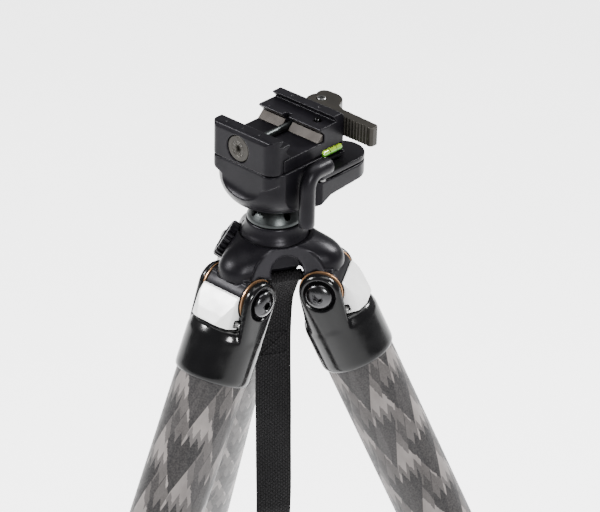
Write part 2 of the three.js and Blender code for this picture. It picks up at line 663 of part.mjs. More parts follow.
// Moving jaw, with its end corners rounded and the same two ledges as the fixed side.
function frontJaw() {
  const side = outline([
    [JAW_FRONT, CLAMP_BOTTOM], [CLAMP_FRONT - GAP, CLAMP_BOTTOM], [CLAMP_FRONT - GAP, 97.4],
    [-12.8, 97.4], [-12.8, 98.6], [-15.6, 101.4], [-12.4, 104.4], [-13, STEP_HEIGHT],
    [-20.6, STEP_HEIGHT], [-17.7, 107.9], [-17.7, LIP_HEIGHT], [-24.2, LIP_HEIGHT],
    [JAW_FRONT, 107.4],
  ]);
  const jaw = common(bar(side, [-CLAMP_HALF, CLAMP_HALF]), plate(jawPlan(0), [80, 120], 5));
  const capSeat = rod([ROD_X, JAW_FRONT - 5, ROD_HEIGHT], [ROD_X, JAW_FRONT + 3.2, ROD_HEIGHT],
    7.3, 24);
  const rodBore = rod([ROD_X, -40, ROD_HEIGHT], [ROD_X, 0, ROD_HEIGHT], 1.7 + GAP, 12);
  return cut(jaw, capSeat, rodBore);
}

// Draw rod from the front cap to the lever's pin.
const drawRod = () =>
  rod([ROD_X, JAW_FRONT + 4, ROD_HEIGHT], [ROD_X, LEVER_PIVOT[1] - 2.8, ROD_HEIGHT], 1.7, 12);

function rodCap() {
  const cap = turned([
    [0, 0.5], [1.9, 0.5], [1.9, 2.2], [6.9, 2.2], [6.9, 3.4], [6.3, 3.9], [0, 3.9],
  ], 24);
  const hex = turned([[0, 2.4], [1.6, 2.4], [1.6, 5], [0, 5]], 6);
  const geometry = geometryOf(cut(cap, hex)).rotateX(Math.PI / 2);
  return solid(geometry.translate(ROD_X, JAW_FRONT + 4.2, ROD_HEIGHT));
}

// Wedge strip at the foot of the fixed jaw; the rod passes between the two of them.
function gripStrip(from, to) {
  const wedge = outline([[8.4, SEAT_HEIGHT + GAP], [12.1, SEAT_HEIGHT + GAP], [12.1, 100.9]]);
  return bar(wedge, [from, to]);
}

function stopScrew() {
  return rod([13, 16, STEP_HEIGHT - 2.7], [13, 16, STEP_HEIGHT + 1.3], 1.6, 10);
}

// Clamp lever: a cam head round the pin and a long finger bar beside the clamp.
function clampLever() {
  const [px, py] = LEVER_PIVOT;
  const shape = new THREE.Shape();
  const cam = (degrees) => 9 - (3 * Math.max(0, 270 - degrees)) / 110;
  for (let degrees = 160; degrees <= 270; degrees += 10) {
    const [x, y] = arc(px, py, cam(degrees), degrees, degrees, 1)[0];
    if (degrees === 160) shape.moveTo(x, y);
    else shape.lineTo(x, y);
  }
  shape.lineTo(px + 6, py - 8.2);
  shape.lineTo(37.4, py - 8.2);
  shape.lineTo(38.4, py - 7);
  shape.lineTo(38.4, py - 3.6);
  shape.lineTo(37, py - 2.6);
  shape.lineTo(14, py - 1.6);
  shape.quadraticCurveTo(9.4, py - 0.6, 8.2, py + 2.6);
  shape.quadraticCurveTo(6.4, py + 9.2, -1, py + 9.4);
  shape.lineTo(-6, py + 9);
  shape.quadraticCurveTo(px - 7, py + 7.6, px - 6.2, py + 4);
  const lever = plate(shape, [LEVER_BOTTOM, LEVER_TOP], 5);
  const pinBore = rod([px, py, 80], [px, py, 120], 2.4 + GAP, 12);
  const fork = box([px - 7, px + 4.4], [py - 12, py + 0.4], [ROD_HEIGHT - 2.4, ROD_HEIGHT + 2.4]);
  const serrations = Array.from({ length: 7 }, (_, i) => {
    const x = 20 + 2.3 * i;
    return box([x, x + 1], [py - 9, py - 7.6], [80, 120]);
  });
  return cut(lever, pinBore, fork, ...serrations);
}

function leverPin() {
  const [px, py] = LEVER_PIVOT;
  return rod([px, py, LEVER_BOTTOM - 0.6], [px, py, LEVER_TOP + 0.4], 2.4, 12);
}

function levelVial() {
  const from = [20.4, 11.6, 90];
  const to = [20.4, CLAMP_REAR - 1.4, 90];
  return rod(from, to, 2, 12);
}

function addHead() {
  place(tripod, "ball_stem", ballStem(), STEEL);
  place(tripod, "ball_liner", shell(LINER, -34, 30, 4), POLYMER);
  place(tripod, "pressure_cup", shell(CUP, -12, 66, 5), BRONZE);
  place(tripod, "head_housing", headHousing(), BLACK_ANODISED);
  place(tripod, "lock_lever", lockLever(), BLACK_ANODISED);
  place(tripod, "lock_screw", lockScrew(), STEEL);
  place(tripod, "clamp_body", clampBody(), BLACK_ANODISED);
  place(tripod, "front_jaw", frontJaw(), BLACK_ANODISED);
  place(tripod, "draw_rod", drawRod(), STEEL);
  place(tripod, "rod_cap", rodCap(), OLIVE_ANODISED);
  place(tripod, "grip_strip_left", gripStrip(-CLAMP_HALF + 0.4, ROD_X - 2.4), BRONZE);
  place(tripod, "grip_strip_right", gripStrip(ROD_X + 2.4, CLAMP_HALF - 0.8), BRONZE);
  place(tripod, "stop_screw", stopScrew(), BLACK_SCREW);
  place(tripod, "clamp_lever", clampLever(), OLIVE_ANODISED);
  place(tripod, "lever_pin", leverPin(), STEEL);
  place(tripod, "level_vial", levelVial(), VIAL);
}

// ---------- assembly ----------
Object.entries(LEGS).forEach(([name, azimuth]) => addLeg(name, azimuth));
addHub();
addHead();

// Stand the feet on z = 0 with the footprint centred on the origin.
tripod.updateMatrixWorld(true);
const extent = new THREE.Box3().setFromObject(tripod, true);
const middle = extent.getCenter(new THREE.Vector3());
tripod.position.set(-middle.x, -middle.y, -extent.min.z);
tripod.updateMatrixWorld(true);

export default tripod;
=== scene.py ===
import json
import math

import bmesh
import bpy
from mathutils import Matrix, Vector

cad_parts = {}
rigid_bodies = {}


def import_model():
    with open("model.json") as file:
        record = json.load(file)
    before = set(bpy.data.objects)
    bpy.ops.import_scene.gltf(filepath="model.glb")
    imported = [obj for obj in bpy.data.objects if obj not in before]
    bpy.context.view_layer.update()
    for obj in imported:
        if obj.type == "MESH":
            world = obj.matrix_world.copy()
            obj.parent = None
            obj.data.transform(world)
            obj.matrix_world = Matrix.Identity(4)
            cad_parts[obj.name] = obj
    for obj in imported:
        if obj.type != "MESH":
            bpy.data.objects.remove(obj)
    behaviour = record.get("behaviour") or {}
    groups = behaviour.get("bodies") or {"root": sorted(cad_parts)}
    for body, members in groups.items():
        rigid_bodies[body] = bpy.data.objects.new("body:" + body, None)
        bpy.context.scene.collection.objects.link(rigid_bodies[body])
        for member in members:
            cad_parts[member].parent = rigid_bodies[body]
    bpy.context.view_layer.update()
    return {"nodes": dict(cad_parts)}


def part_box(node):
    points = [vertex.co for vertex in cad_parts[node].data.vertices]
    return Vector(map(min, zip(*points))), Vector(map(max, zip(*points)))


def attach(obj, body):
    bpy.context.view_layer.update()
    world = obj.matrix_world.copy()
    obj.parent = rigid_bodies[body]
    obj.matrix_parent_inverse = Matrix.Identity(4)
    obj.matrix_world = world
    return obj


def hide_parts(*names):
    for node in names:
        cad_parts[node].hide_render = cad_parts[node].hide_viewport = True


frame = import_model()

# ---------- driving dimensions, in millimetres about the tripod's axis and hub datum ----------
MM = 0.001
NECK_FOOT = 43.0  # lowest point of the head's base above the datum
SPLAY = math.radians(25.3)
LEGS = {"front": -90, "right": 30, "left": 150}
PIVOT = Vector((27.7, 0, 18.8))
LEG_INSET = 1.5
LUG_RADIUS = 11.5
LUG_HALF = 12.4
EAR_INNER = 13.9
EAR_OUTER = 18.4
YOKE_RADIUS = 20
YOKE_END = 46
TUBES = [(18.4, 16.7), (16.3, 14.7), (14.3, 12.8)]
TUBE_TOPS = [22, 240, 458]
TUBE_LENGTH = 430
COLLAR = 36
COLLAR_LAP = 8

LOBE_DISTANCE = 25.6
LOBE_RADIUS = 11.2
HUB_SIDE = LOBE_DISTANCE / 2 + LOBE_RADIUS
HUB_UNDERSIDE = 28.6
SLOT_AZIMUTH = -30
KNOB_SEAT = Vector((22.4, 0, 33.4))
KNOB_RADIUS = 10.4

BALL_HEIGHT = 74
CLAMP_HALF = 21
JAW_FRONT = -25.5
CLAMP_FRONT = -17
CLAMP_REAR = 27
CLAMP_BOTTOM = 90.3
ROD_X = -2.5
ROD_HEIGHT = 98.6
LEVER_PIVOT = (-2.5, 36.3)
EXTENSION_TOP = 85
LOCK_PIVOT = (27.2, 4)

STRAP_WIDTH = 19
STRAP_BAR = (16.8, 25.4)
STRAP_PLY = 1.1
STRAP_PATH = [(15.1, 23.9), (12.2, 20.2), (7.2, 12.6), (2.6, 3), (0.6, -16), (0, -60), (0, -134.6)]

base_low, base_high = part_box("head_base")
ORIGIN = Vector((
    (base_low[0] + base_high[0]) / 2,
    (base_low[1] + base_high[1]) / 2,
    base_low[2] - NECK_FOOT * MM,
))
WORLD = Matrix.Translation(ORIGIN) @ Matrix.Scale(MM, 4)


def about_z(degrees):
    return Matrix.Rotation(math.radians(degrees), 4, "Z")


def leg_matrix(azimuth):
    turn = Matrix.Rotation(-SPLAY, 4, "Y")
    return WORLD @ about_z(azimuth) @ Matrix.Translation(PIVOT) @ turn


# ---------- mesh helpers ----------
def new_object(name, mesh):
    made = bpy.data.objects.new(name, mesh)
    bpy.context.scene.collection.objects.link(made)
    return made


def from_bmesh(name, bm):
    bmesh.ops.remove_doubles(bm, verts=bm.verts, dist=1e-5)
    bmesh.ops.recalc_face_normals(bm, faces=bm.faces)
    mesh = bpy.data.meshes.new(name)
    bm.to_mesh(mesh)
    bm.free()
    return new_object(name, mesh)


def lathe(profile, segments=96, name="turned"):
    """Turns (radius, height) points about Z. An open profile must start and end on the axis."""
    bm = bmesh.new()
    rings = []
    for radius, height in profile:
        if radius < 1e-6:
            rings.append([bm.verts.new((0, 0, height))])
            continue
        ring = []
        for i in range(segments):
            angle = 2 * math.pi * i / segments
            ring.append(bm.verts.new((radius * math.cos(angle), radius * math.sin(angle), height)))
        rings.append(ring)
    closed = profile[0][0] > 1e-6 and profile[-1][0] > 1e-6
    pairs = list(zip(rings, rings[1:]))
    if closed:
        pairs.append((rings[-1], rings[0]))
    for low, high in pairs:
        for i in range(segments):
            j = (i + 1) % segments
            corners = [low[i % len(low)], low[j % len(low)], high[j % len(high)], high[i % len(high)]]
            distinct = list(dict.fromkeys(corners))
            if len(distinct) > 2:
                bm.faces.new(distinct)
    return from_bmesh(name, bm)


def prism(points, low, high, axis="Z"):
    """Extrudes an outline: drawn in XY along Z, in YZ along X, or in XZ along Y."""
    spots = {
        "Z": lambda a, b, c: (a, b, c),
        "X": lambda a, b, c: (c, a, b),
        "Y": lambda a, b, c: (a, c, b),
    }[axis]
    bm = bmesh.new()
    lower = [bm.verts.new(spots(a, b, low)) for a, b in points]
    upper = [bm.verts.new(spots(a, b, high)) for a, b in points]
    bm.faces.new(lower)
    bm.faces.new(list(reversed(upper)))
    for i in range(len(points)):
        j = (i + 1) % len(points)
        bm.faces.new([lower[i], lower[j], upper[j], upper[i]])
    return from_bmesh("prism", bm)


def block(x, y, z):
    return prism([(x[0], y[0]), (x[1], y[0]), (x[1], y[1]), (x[0], y[1])], z[0], z[1])


def rod(start, end, radius, segments=48):
    start, end = Vector(start), Vector(end)
    made = lathe([(0, 0), (radius, 0), (radius, (end - start).length), (0, (end - start).length)],
                 segments)
    turn = (end - start).to_track_quat("Z", "Y").to_matrix().to_4x4()
    return moved(made, Matrix.Translation(start) @ turn)


def moved(piece, matrix):
    piece.data.transform(matrix)
    return piece


def apply_modifiers(piece):
    bpy.context.view_layer.update()
    graph = bpy.context.evaluated_depsgraph_get()
    mesh = bpy.data.meshes.new_from_object(piece.evaluated_get(graph))
    piece.modifiers.clear()
    piece.data = mesh
    return piece


def boolean(piece, tool, operation):
    modifier = piece.modifiers.new("boolean", "BOOLEAN")
    modifier.operation = operation
    modifier.solver = "EXACT"
    modifier.object = tool
    apply_modifiers(piece)
    bpy.data.objects.remove(tool)
    return piece


def join(piece, *tools):
    for tool in tools:
        boolean(piece, tool, "UNION")
    return piece


def cut(piece, *tools):
    for tool in tools:
        boolean(piece, tool, "DIFFERENCE")
    return piece


def common(piece, *tools):
    for tool in tools:
        boolean(piece, tool, "INTERSECT")
    return piece


def arc(a, b, radius, start, end, steps):
    points = []
    for i in range(steps + 1):
        angle = math.radians(start + (end - start) * i / steps)
        points.append((a + radius * math.cos(angle), b + radius * math.sin(angle)))
    return points


def swept(path, flat, across, along, ends):
    """Elliptical bar along a flat path of points; flat is the direction square to its plane."""
    bm = bmesh.new()
    count = 40
    flat = Vector(flat)
    rings = []
    for i, point in enumerate(path):
        ahead = Vector(path[min(i + 1, len(path) - 1)]) - Vector(path[max(i - 1, 0)])
        side = flat.cross(ahead).normalized()
        near = min(i, len(path) - 1 - i)
        crown = ends[near] if near < len(ends) else 1
        ring = []
        for k in range(count):
            angle = 2 * math.pi * k / count
            out = flat * (across * crown * math.cos(angle)) + side * (along * crown * math.sin(angle))
            ring.append(bm.verts.new(Vector(point) + out))
        rings.append(ring)
    for low, high in zip(rings, rings[1:]):
        for k in range(count):
            j = (k + 1) % count
            bm.faces.new([low[k], low[j], high[j], high[k]])
    bm.faces.new(rings[0])
    bm.faces.new(rings[-1])
    return from_bmesh("swept", bm)


def curve(a, control, b, steps=10):
    """Quadratic curve from a to b, without its first point."""
    points = []
    for i in range(1, steps + 1):
        t = i / steps
        points.append(tuple(
            (1 - t) ** 2 * p + 2 * t * (1 - t) * q + t * t * r for p, q, r in zip(a, control, b)
        ))
    return points


def cast_finish(piece, voxel, rounds):
    """Melts a joined shape into one smooth skin, as a casting with tumbled edges has."""
    remesh = piece.modifiers.new("skin", "REMESH")
    remesh.mode = "VOXEL"
    remesh.voxel_size = voxel
    smooth = piece.modifiers.new("smooth", "SMOOTH")
    smooth.iterations = rounds
    smooth.factor = 0.5
    return apply_modifiers(piece)


def bevelled(piece, width, segments=2, angle=28):
    bevel = piece.modifiers.new("bevel", "BEVEL")
    bevel.width = width
    bevel.segments = segments
    bevel.limit_method = "ANGLE"
    bevel.angle_limit = math.radians(angle)
    return apply_modifiers(piece)


def shade(piece, degrees=38):
    bm = bmesh.new()
    bm.from_mesh(piece.data)
    for face in bm.faces:
        face.smooth = True
    for edge in bm.edges:
        edge.smooth = len(edge.link_faces) != 2 or edge.calc_face_angle() < math.radians(degrees)
    bm.to_mesh(piece.data)
    bm.free()
    return piece


def settle(piece, name, body, material, nodes=(), matrix=None, weighted=True, degrees=38,
           finish=None):
    """Names a finished piece, puts it in the row's frame and ties it to its body."""
    moved(piece, matrix or WORLD)
    piece.name = name
    shade(piece, degrees)
    if weighted:
        modifier = piece.modifiers.new("normals", "WEIGHTED_NORMAL")
        modifier.keep_sharp = True
    piece.data.materials.clear()
    piece.data.materials.append(MATERIALS[finish or material])
    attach(piece, body)
    if nodes:
        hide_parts(*nodes)
    return piece


# ---------- camera ----------
def aim_camera():
    """Looks down at the head from 42 degrees round to the left of the clamp's front."""
    azimuth = math.radians(41.6)
    height = math.radians(29.87)
    roll = math.radians(1.45)
    distance = 1316.4
    target = Vector((9.97, 8.85, 28.52))
    forward = Vector((
        -math.sin(azimuth) * math.cos(height), math.cos(azimuth) * math.cos(height),
        -math.sin(height),
    ))
    level = Vector((math.cos(azimuth), math.sin(azimuth), 0))
    up = level.cross(forward)
    right = math.cos(roll) * level + math.sin(roll) * up
    top = math.cos(roll) * up - math.sin(roll) * level
    data = bpy.data.cameras.new("view")
    data.lens = 153.7
    data.sensor_width = 36
    data.clip_end = 20
    camera = bpy.data.objects.new("view", data)
    bpy.context.scene.collection.objects.link(camera)
    place = ORIGIN + (target - distance * forward) * MM
    turn = Matrix((right, top, -forward)).transposed().to_4x4()
    camera.matrix_world = Matrix.Translation(place) @ turn
    bpy.context.scene.camera = camera


aim_camera()


# ---------- materials ----------
class Graph:
    """A material's node tree, with short calls to add nodes and links."""

    def __init__(self, name):
        self.material = bpy.data.materials.new(name)
        self.material.use_nodes = True
        self.tree = self.material.node_tree
        self.shader = self.tree.nodes["Principled BSDF"]

    def add(self, kind, **settings):
        node = self.tree.nodes.new("ShaderNode" + kind)
        for key, value in settings.items():
            if hasattr(node, key):
                setattr(node, key, value)
            else:
                node.inputs[key].default_value = value
        return node

    def link(self, output, target):
        self.tree.links.new(output, target)

    def noise(self, scale, detail=4, roughness=0.5, vector=None):
        node = self.add("TexNoise")
        node.inputs["Scale"].default_value = scale
        node.inputs["Detail"].default_value = detail
        node.inputs["Roughness"].default_value = roughness
        self.link(vector or self.place(), node.inputs["Vector"])
        return node.outputs["Fac"]

    def place(self):
        if not hasattr(self, "spot"):
            self.spot = self.add("TexCoord").outputs["Object"]
        return self.spot

    def ramp(self, value, *stops):
        node = self.add("ValToRGB")
        elements = node.color_ramp.elements
        while len(elements) < len(stops):
            elements.new(0.5)
        for element, (position, colour) in zip(elements, stops):
            element.position = position
            element.color = (*colour, 1) if len(colour) == 3 else colour
        self.link(value, node.inputs["Fac"])
        return node.outputs["Color"]

    def span(self, value, low, high, start=0.3, end=0.7):
        node = self.add("MapRange")
        node.inputs["From Min"].default_value = start
        node.inputs["From Max"].default_value = end
        node.inputs["To Min"].default_value = low
        node.inputs["To Max"].default_value = high
        self.link(value, node.inputs["Value"])
        return node.outputs["Result"]

    def math(self, operation, a, b=None, c=None):
        node = self.add("Math")
        node.operation = operation
        for socket, value in zip(node.inputs, (a, b, c)):
            if value is None:
                continue
            if isinstance(value, (int, float)):
                socket.default_value = value
            else:
                self.link(value, socket)
        return node.outputs["Value"]

    def mix(self, share, a, b):
        node = self.add("Mix", data_type="RGBA")
        slots = [socket for socket in node.inputs if socket.type == "RGBA"]
        for socket, value in zip(slots, (a, b)):
            if isinstance(value, tuple):
                socket.default_value = (*value, 1)
            else:
                self.link(value, socket)
        self.link(share, node.inputs["Factor"])
        return [output for output in node.outputs if output.type == "RGBA"][0]

    def bump(self, height, distance, strength=1.0):
        node = self.add("Bump")
        node.inputs["Distance"].default_value = distance
        node.inputs["Strength"].default_value = strength
        self.link(height, node.inputs["Height"])
        self.link(node.outputs["Normal"], self.shader.inputs["Normal"])

    def uniform(self, **values):
        names = {
            "metallic": "Metallic", "ior": "IOR", "coat": "Coat Weight",
            "coat_roughness": "Coat Roughness", "sheen": "Sheen Weight",
            "specular": "Specular IOR Level", "transmission": "Transmission Weight",
            "sheen_roughness": "Sheen Roughness", "anisotropic": "Anisotropic",
        }
        for key, value in values.items():
            self.shader.inputs[names[key]].default_value = value


def metal_finish(name, dark, light, rough, grain=2600, depth=0.00002, **uniform):
    """Finely blasted metal: mottled colour, uneven sheen and a bead-blast grain."""
    graph = Graph(name)
    cloud = graph.noise(38, 6, 0.62)
    colour = graph.ramp(cloud, (0.32, dark), (0.7, light))
    graph.link(colour, graph.shader.inputs["Base Color"])
    graph.link(graph.span(graph.noise(110, 5), *rough), graph.shader.inputs["Roughness"])
    graph.bump(graph.noise(grain, 2), depth, 0.5)
    graph.uniform(**uniform)
    return graph.material


def turned_steel(name, dark, light, rough):
    """Lathe-turned steel with fine rings and a few darker smears."""
    graph = Graph(name)
    wave = graph.add("TexWave", wave_type="BANDS", bands_direction="Z")
    wave.inputs["Scale"].default_value = 900
    wave.inputs["Distortion"].default_value = 1.2
    graph.link(graph.place(), wave.inputs["Vector"])
    colour = graph.ramp(graph.noise(60, 6, 0.6), (0.3, dark), (0.75, light))
    graph.link(colour, graph.shader.inputs["Base Color"])
    graph.link(graph.span(graph.noise(240, 4), *rough), graph.shader.inputs["Roughness"])
    graph.bump(wave.outputs["Fac"], 0.00001, 0.35)
    graph.uniform(metallic=1.0)
    return graph.material


def enamel():
    """Thick gloss black with a faint orange peel and fine dust-sized specks."""
    graph = Graph("black_enamel")
    colour = graph.ramp(graph.noise(30, 5), (0.3, (0.0012, 0.0012, 0.0014)), (0.75, (0.003, 0.003, 0.0033)))
    graph.link(colour, graph.shader.inputs["Base Color"])
    graph.link(graph.span(graph.noise(150, 6), 0.13, 0.24), graph.shader.inputs["Roughness"])
    graph.bump(graph.noise(420, 3), 0.00003, 0.3)
    graph.uniform(specular=0.24)
    return graph.material


def carbon():
    """Patterned carbon: staggered rows of folded grey fangs with comb-toothed tops, under resin, the right half of
    each fang painted darker as shade on its fold.
    """
    graph = Graph("carbon")
    uv = graph.add("UVMap").outputs["UV"]
    split = graph.add("SeparateXYZ")
    graph.link(uv, split.inputs["Vector"])
    ragged = graph.math("SUBTRACT", graph.noise(9, 5, 0.7, vector=uv), 0.5)
    column_at = graph.math("ADD", split.outputs["X"], graph.math("MULTIPLY", ragged, 0.09))
    row_at = graph.math("ADD", split.outputs["Y"], graph.math("MULTIPLY", ragged, 0.12))
    cloud = graph.noise(1.3, 4, 0.6, vector=uv)
    colour = graph.ramp(cloud, (0.3, (0.09, 0.081, 0.078)), (0.7, (0.165, 0.15, 0.144)))
    for across, up, wide, strength in ((0.55, 0.36, 0.95, 0.66), (0.0, 0.0, 1.12, 0.95), (0.27, 0.66, 0.7, 0.7)):
        x = graph.math("ADD", column_at, across)
        column = graph.math("FLOOR", x)
        lift = graph.math("MULTIPLY", graph.math("PINGPONG", column, 1.0), 0.5)
        y = graph.math("ADD", graph.math("ADD", row_at, lift), up)
        row = graph.math("FLOOR", y)
        u, v = graph.math("FRACT", x), graph.math("FRACT", y)
        cell = graph.add("CombineXYZ")
        graph.link(column, cell.inputs["X"])
        graph.link(row, cell.inputs["Y"])
        dice = graph.add("TexWhiteNoise", noise_dimensions="3D")
        graph.link(cell.outputs["Vector"], dice.inputs["Vector"])
        tooth = graph.math("PINGPONG", graph.math("MULTIPLY", u, 4.5), 0.5)
        top = graph.math("ADD", graph.math("MULTIPLY", tooth, 0.36), 0.74)
        slope = graph.math("MULTIPLY", graph.math("ABSOLUTE", graph.math("SUBTRACT", u, 0.5)), 1.62 / wide)
        inside = graph.math("MINIMUM", graph.math("SUBTRACT", v, slope), graph.math("SUBTRACT", top, v))
        share = graph.span(inside, 0.0, strength, -0.006, 0.014)
        # Painted shade: the right half of each fang is darkened as if its fold faced away from the light.
        painted_shade_fold = graph.span(graph.math("SUBTRACT", u, 0.52), 0.0, 0.5, -0.012, 0.012)
        tone = graph.ramp(dice.outputs["Value"], (0.0, (0.006, 0.006, 0.0068)), (1.0, (0.03, 0.0285, 0.0295)))
        fang_with_painted_shade = graph.mix(painted_shade_fold, tone, (0.0055, 0.0055, 0.0064))
        colour = graph.mix(share, colour, fang_with_painted_shade)
    grain = graph.noise(1100, 3)
    colour = graph.mix(graph.span(grain, 0.0, 0.22), colour, (0.1, 0.094, 0.09))
    graph.link(colour, graph.shader.inputs["Base Color"])
    graph.link(graph.span(graph.noise(300, 4), 0.34, 0.5), graph.shader.inputs["Roughness"])
    graph.bump(graph.noise(700, 3), 0.00003, 0.3)
    graph.uniform(specular=0.12)
    return graph.material


def webbing():
    """Flat webbing: rows of fat warp yarns, each bulging between the weft picks, with painted shade darkening the
    dips between yarns and picks.
    """
    graph = Graph("webbing")
    uv = graph.add("UVMap").outputs["UV"]
    split = graph.add("SeparateXYZ")
    graph.link(uv, split.inputs["Vector"])
    across = graph.math("MULTIPLY", split.outputs["X"], 2 * math.pi / 0.00135)
    along = graph.math("MULTIPLY", split.outputs["Y"], 2 * math.pi / 0.0024)
    half_turns = graph.math("FLOOR", graph.math("DIVIDE", split.outputs["X"], 0.00135))
    shift = graph.math("MULTIPLY", half_turns, math.pi)
    yarn = graph.math("ABSOLUTE", graph.math("SINE", graph.math("MULTIPLY", across, 0.5)))
    pick = graph.math("ABSOLUTE", graph.math("SINE", graph.math("MULTIPLY", graph.math("ADD", along, shift), 0.5)))
    weave = graph.math("MULTIPLY", graph.math("POWER", yarn, 0.6), graph.math("POWER", pick, 0.7))
    fuzz = graph.noise(2200, 4)
    height = graph.math("ADD", weave, graph.math("MULTIPLY", fuzz, 0.35))
    # Painted shade: the yarn tops are lighter and the dips between yarns and picks are painted darker.
    base = graph.ramp(weave, (0.1, (0.0008, 0.0008, 0.0009)), (0.9, (0.0056, 0.0052, 0.0057)))
    colour = graph.mix(graph.span(graph.noise(70, 4), 0.0, 0.25), base, (0.0072, 0.0068, 0.0072))
    graph.link(colour, graph.shader.inputs["Base Color"])
    graph.link(graph.span(fuzz, 0.62, 0.9), graph.shader.inputs["Roughness"])
    graph.bump(height, 0.00045, 0.9)
    graph.uniform(specular=0.08)
    return graph.material


def ribbed_rubber():
    graph = Graph("rubber")
    colour = graph.ramp(graph.noise(90, 6), (0.3, (0.004, 0.004, 0.004)), (0.75, (0.011, 0.0105, 0.0105)))
    graph.link(colour, graph.shader.inputs["Base Color"])
    graph.link(graph.span(graph.noise(200, 4), 0.6, 0.85), graph.shader.inputs["Roughness"])
    graph.bump(graph.noise(1400, 3), 0.00006, 0.7)
    return graph.material


def vial_fluid_painted_light():
    graph = Graph("vial")
    split = graph.add("SeparateXYZ")
    graph.link(graph.place(), split.inputs["Vector"])
    low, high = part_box("level_vial")
    # Painted shade and light: the fluid is painted dark green at the bottom, rising to a bright lit yellow-green
    # at the top.
    painted_light_rise = graph.span(split.outputs["Z"], 0, 1, low[2], high[2])
    colour = graph.ramp(painted_light_rise, (0.0, (0.004, 0.02, 0.001)), (0.5, (0.05, 0.2, 0.005)), (1.0, (0.34, 0.5, 0.03)))
    graph.link(colour, graph.shader.inputs["Base Color"])
    graph.link(graph.span(graph.noise(300, 2), 0.03, 0.09), graph.shader.inputs["Roughness"])
    # Painted glow: the same shaded colour is emitted faintly, though the vial is no lamp.
    graph.link(colour, graph.shader.inputs["Emission Color"])
    graph.shader.inputs["Emission Strength"].default_value = 0.12
    graph.uniform(coat=1.0, coat_roughness=0.03)
    return graph.material


MATERIALS = {
    "black_anodised": metal_finish(
        "black_anodised", (0.0026, 0.0024, 0.0033), (0.0062, 0.0057, 0.0072), (0.3, 0.42),
        metallic=0.35, specular=0.1),
    "black_enamel": enamel(),
    "black_screw": turned_steel("black_screw", (0.022, 0.022, 0.023), (0.06, 0.06, 0.062), (0.16, 0.28)),
    "olive_anodised": metal_finish(
        "olive_anodised", (0.015, 0.0137, 0.0118), (0.027, 0.0248, 0.0215), (0.3, 0.42),
        metallic=0.6, specular=0.2),
    "steel": turned_steel("steel", (0.12, 0.12, 0.12), (0.26, 0.26, 0.255), (0.2, 0.34)),
    "dark_steel": turned_steel("dark_steel", (0.026, 0.029, 0.029), (0.06, 0.064, 0.064), (0.34, 0.46)),
    "silver": metal_finish(
        "silver", (0.50, 0.50, 0.495), (0.64, 0.64, 0.635), (0.3, 0.42), depth=0.00001,
        metallic=0.1, specular=0.5),
    "bronze": metal_finish(
        "bronze", (0.22, 0.115, 0.055), (0.4, 0.23, 0.125), (0.26, 0.4), metallic=0.9),
    "dull_bronze": metal_finish(
        "dull_bronze", (0.012, 0.0098, 0.0082), (0.024, 0.0198, 0.017), (0.45, 0.58), metallic=0.4,
        specular=0.2),
    "carbon": carbon(),
    "rubber": ribbed_rubber(),
    "polymer": metal_finish("polymer", (0.32, 0.29, 0.22), (0.45, 0.42, 0.34), (0.5, 0.65), metallic=0.0),
    "vial": vial_fluid_painted_light(),
    "webbing": webbing(),
}


# ---------- strap ----------
def smooth_path(points, steps):
    """Catmull-Rom curve through (distance, height) points."""
    spots = [Vector(p) for p in points]
    spots = [2 * spots[0] - spots[1]] + spots + [2 * spots[-1] - spots[-2]]
    path = []
    for a, b, c, d in zip(spots, spots[1:], spots[2:], spots[3:]):
        for i in range(steps):
            t = i / steps
            path.append(0.5 * (
                2 * b + (c - a) * t + (2 * a - 5 * b + 4 * c - d) * t * t
                + (3 * b - a - 3 * c + d) * t ** 3
            ))
    path.append(spots[-2])
    return path


def offset_path(path, distance):
    made = []
    for i, point in enumerate(path):
        ahead = path[min(i + 1, len(path) - 1)] - path[max(i - 1, 0)]
        side = Vector((ahead[1], -ahead[0])).normalized()
        made.append(point + side * distance)
    return made


def strap_route():
    """The webbing's middle line: up the outer ply, round the bar and down the inner ply."""
    spine = smooth_path(STRAP_PATH, 12)
    outer = offset_path(spine, -0.68)
    inner = offset_path(spine, 0.68)
    if outer[0][0] < inner[0][0]:
        outer, inner = inner, outer
    bar = Vector(STRAP_BAR)
    reach = 2.45
    start = math.degrees(math.atan2(outer[0][1] - bar[1], outer[0][0] - bar[0]))
    end = math.degrees(math.atan2(inner[0][1] - bar[1], inner[0][0] - bar[0]))
    while end < start:
        end += 360
    loop = [Vector(p) for p in arc(*bar, reach, start + 12, end - 12, 22)]
    stitched = [point for point in inner if point[1] > -31]
    return list(reversed(outer)) + loop + stitched


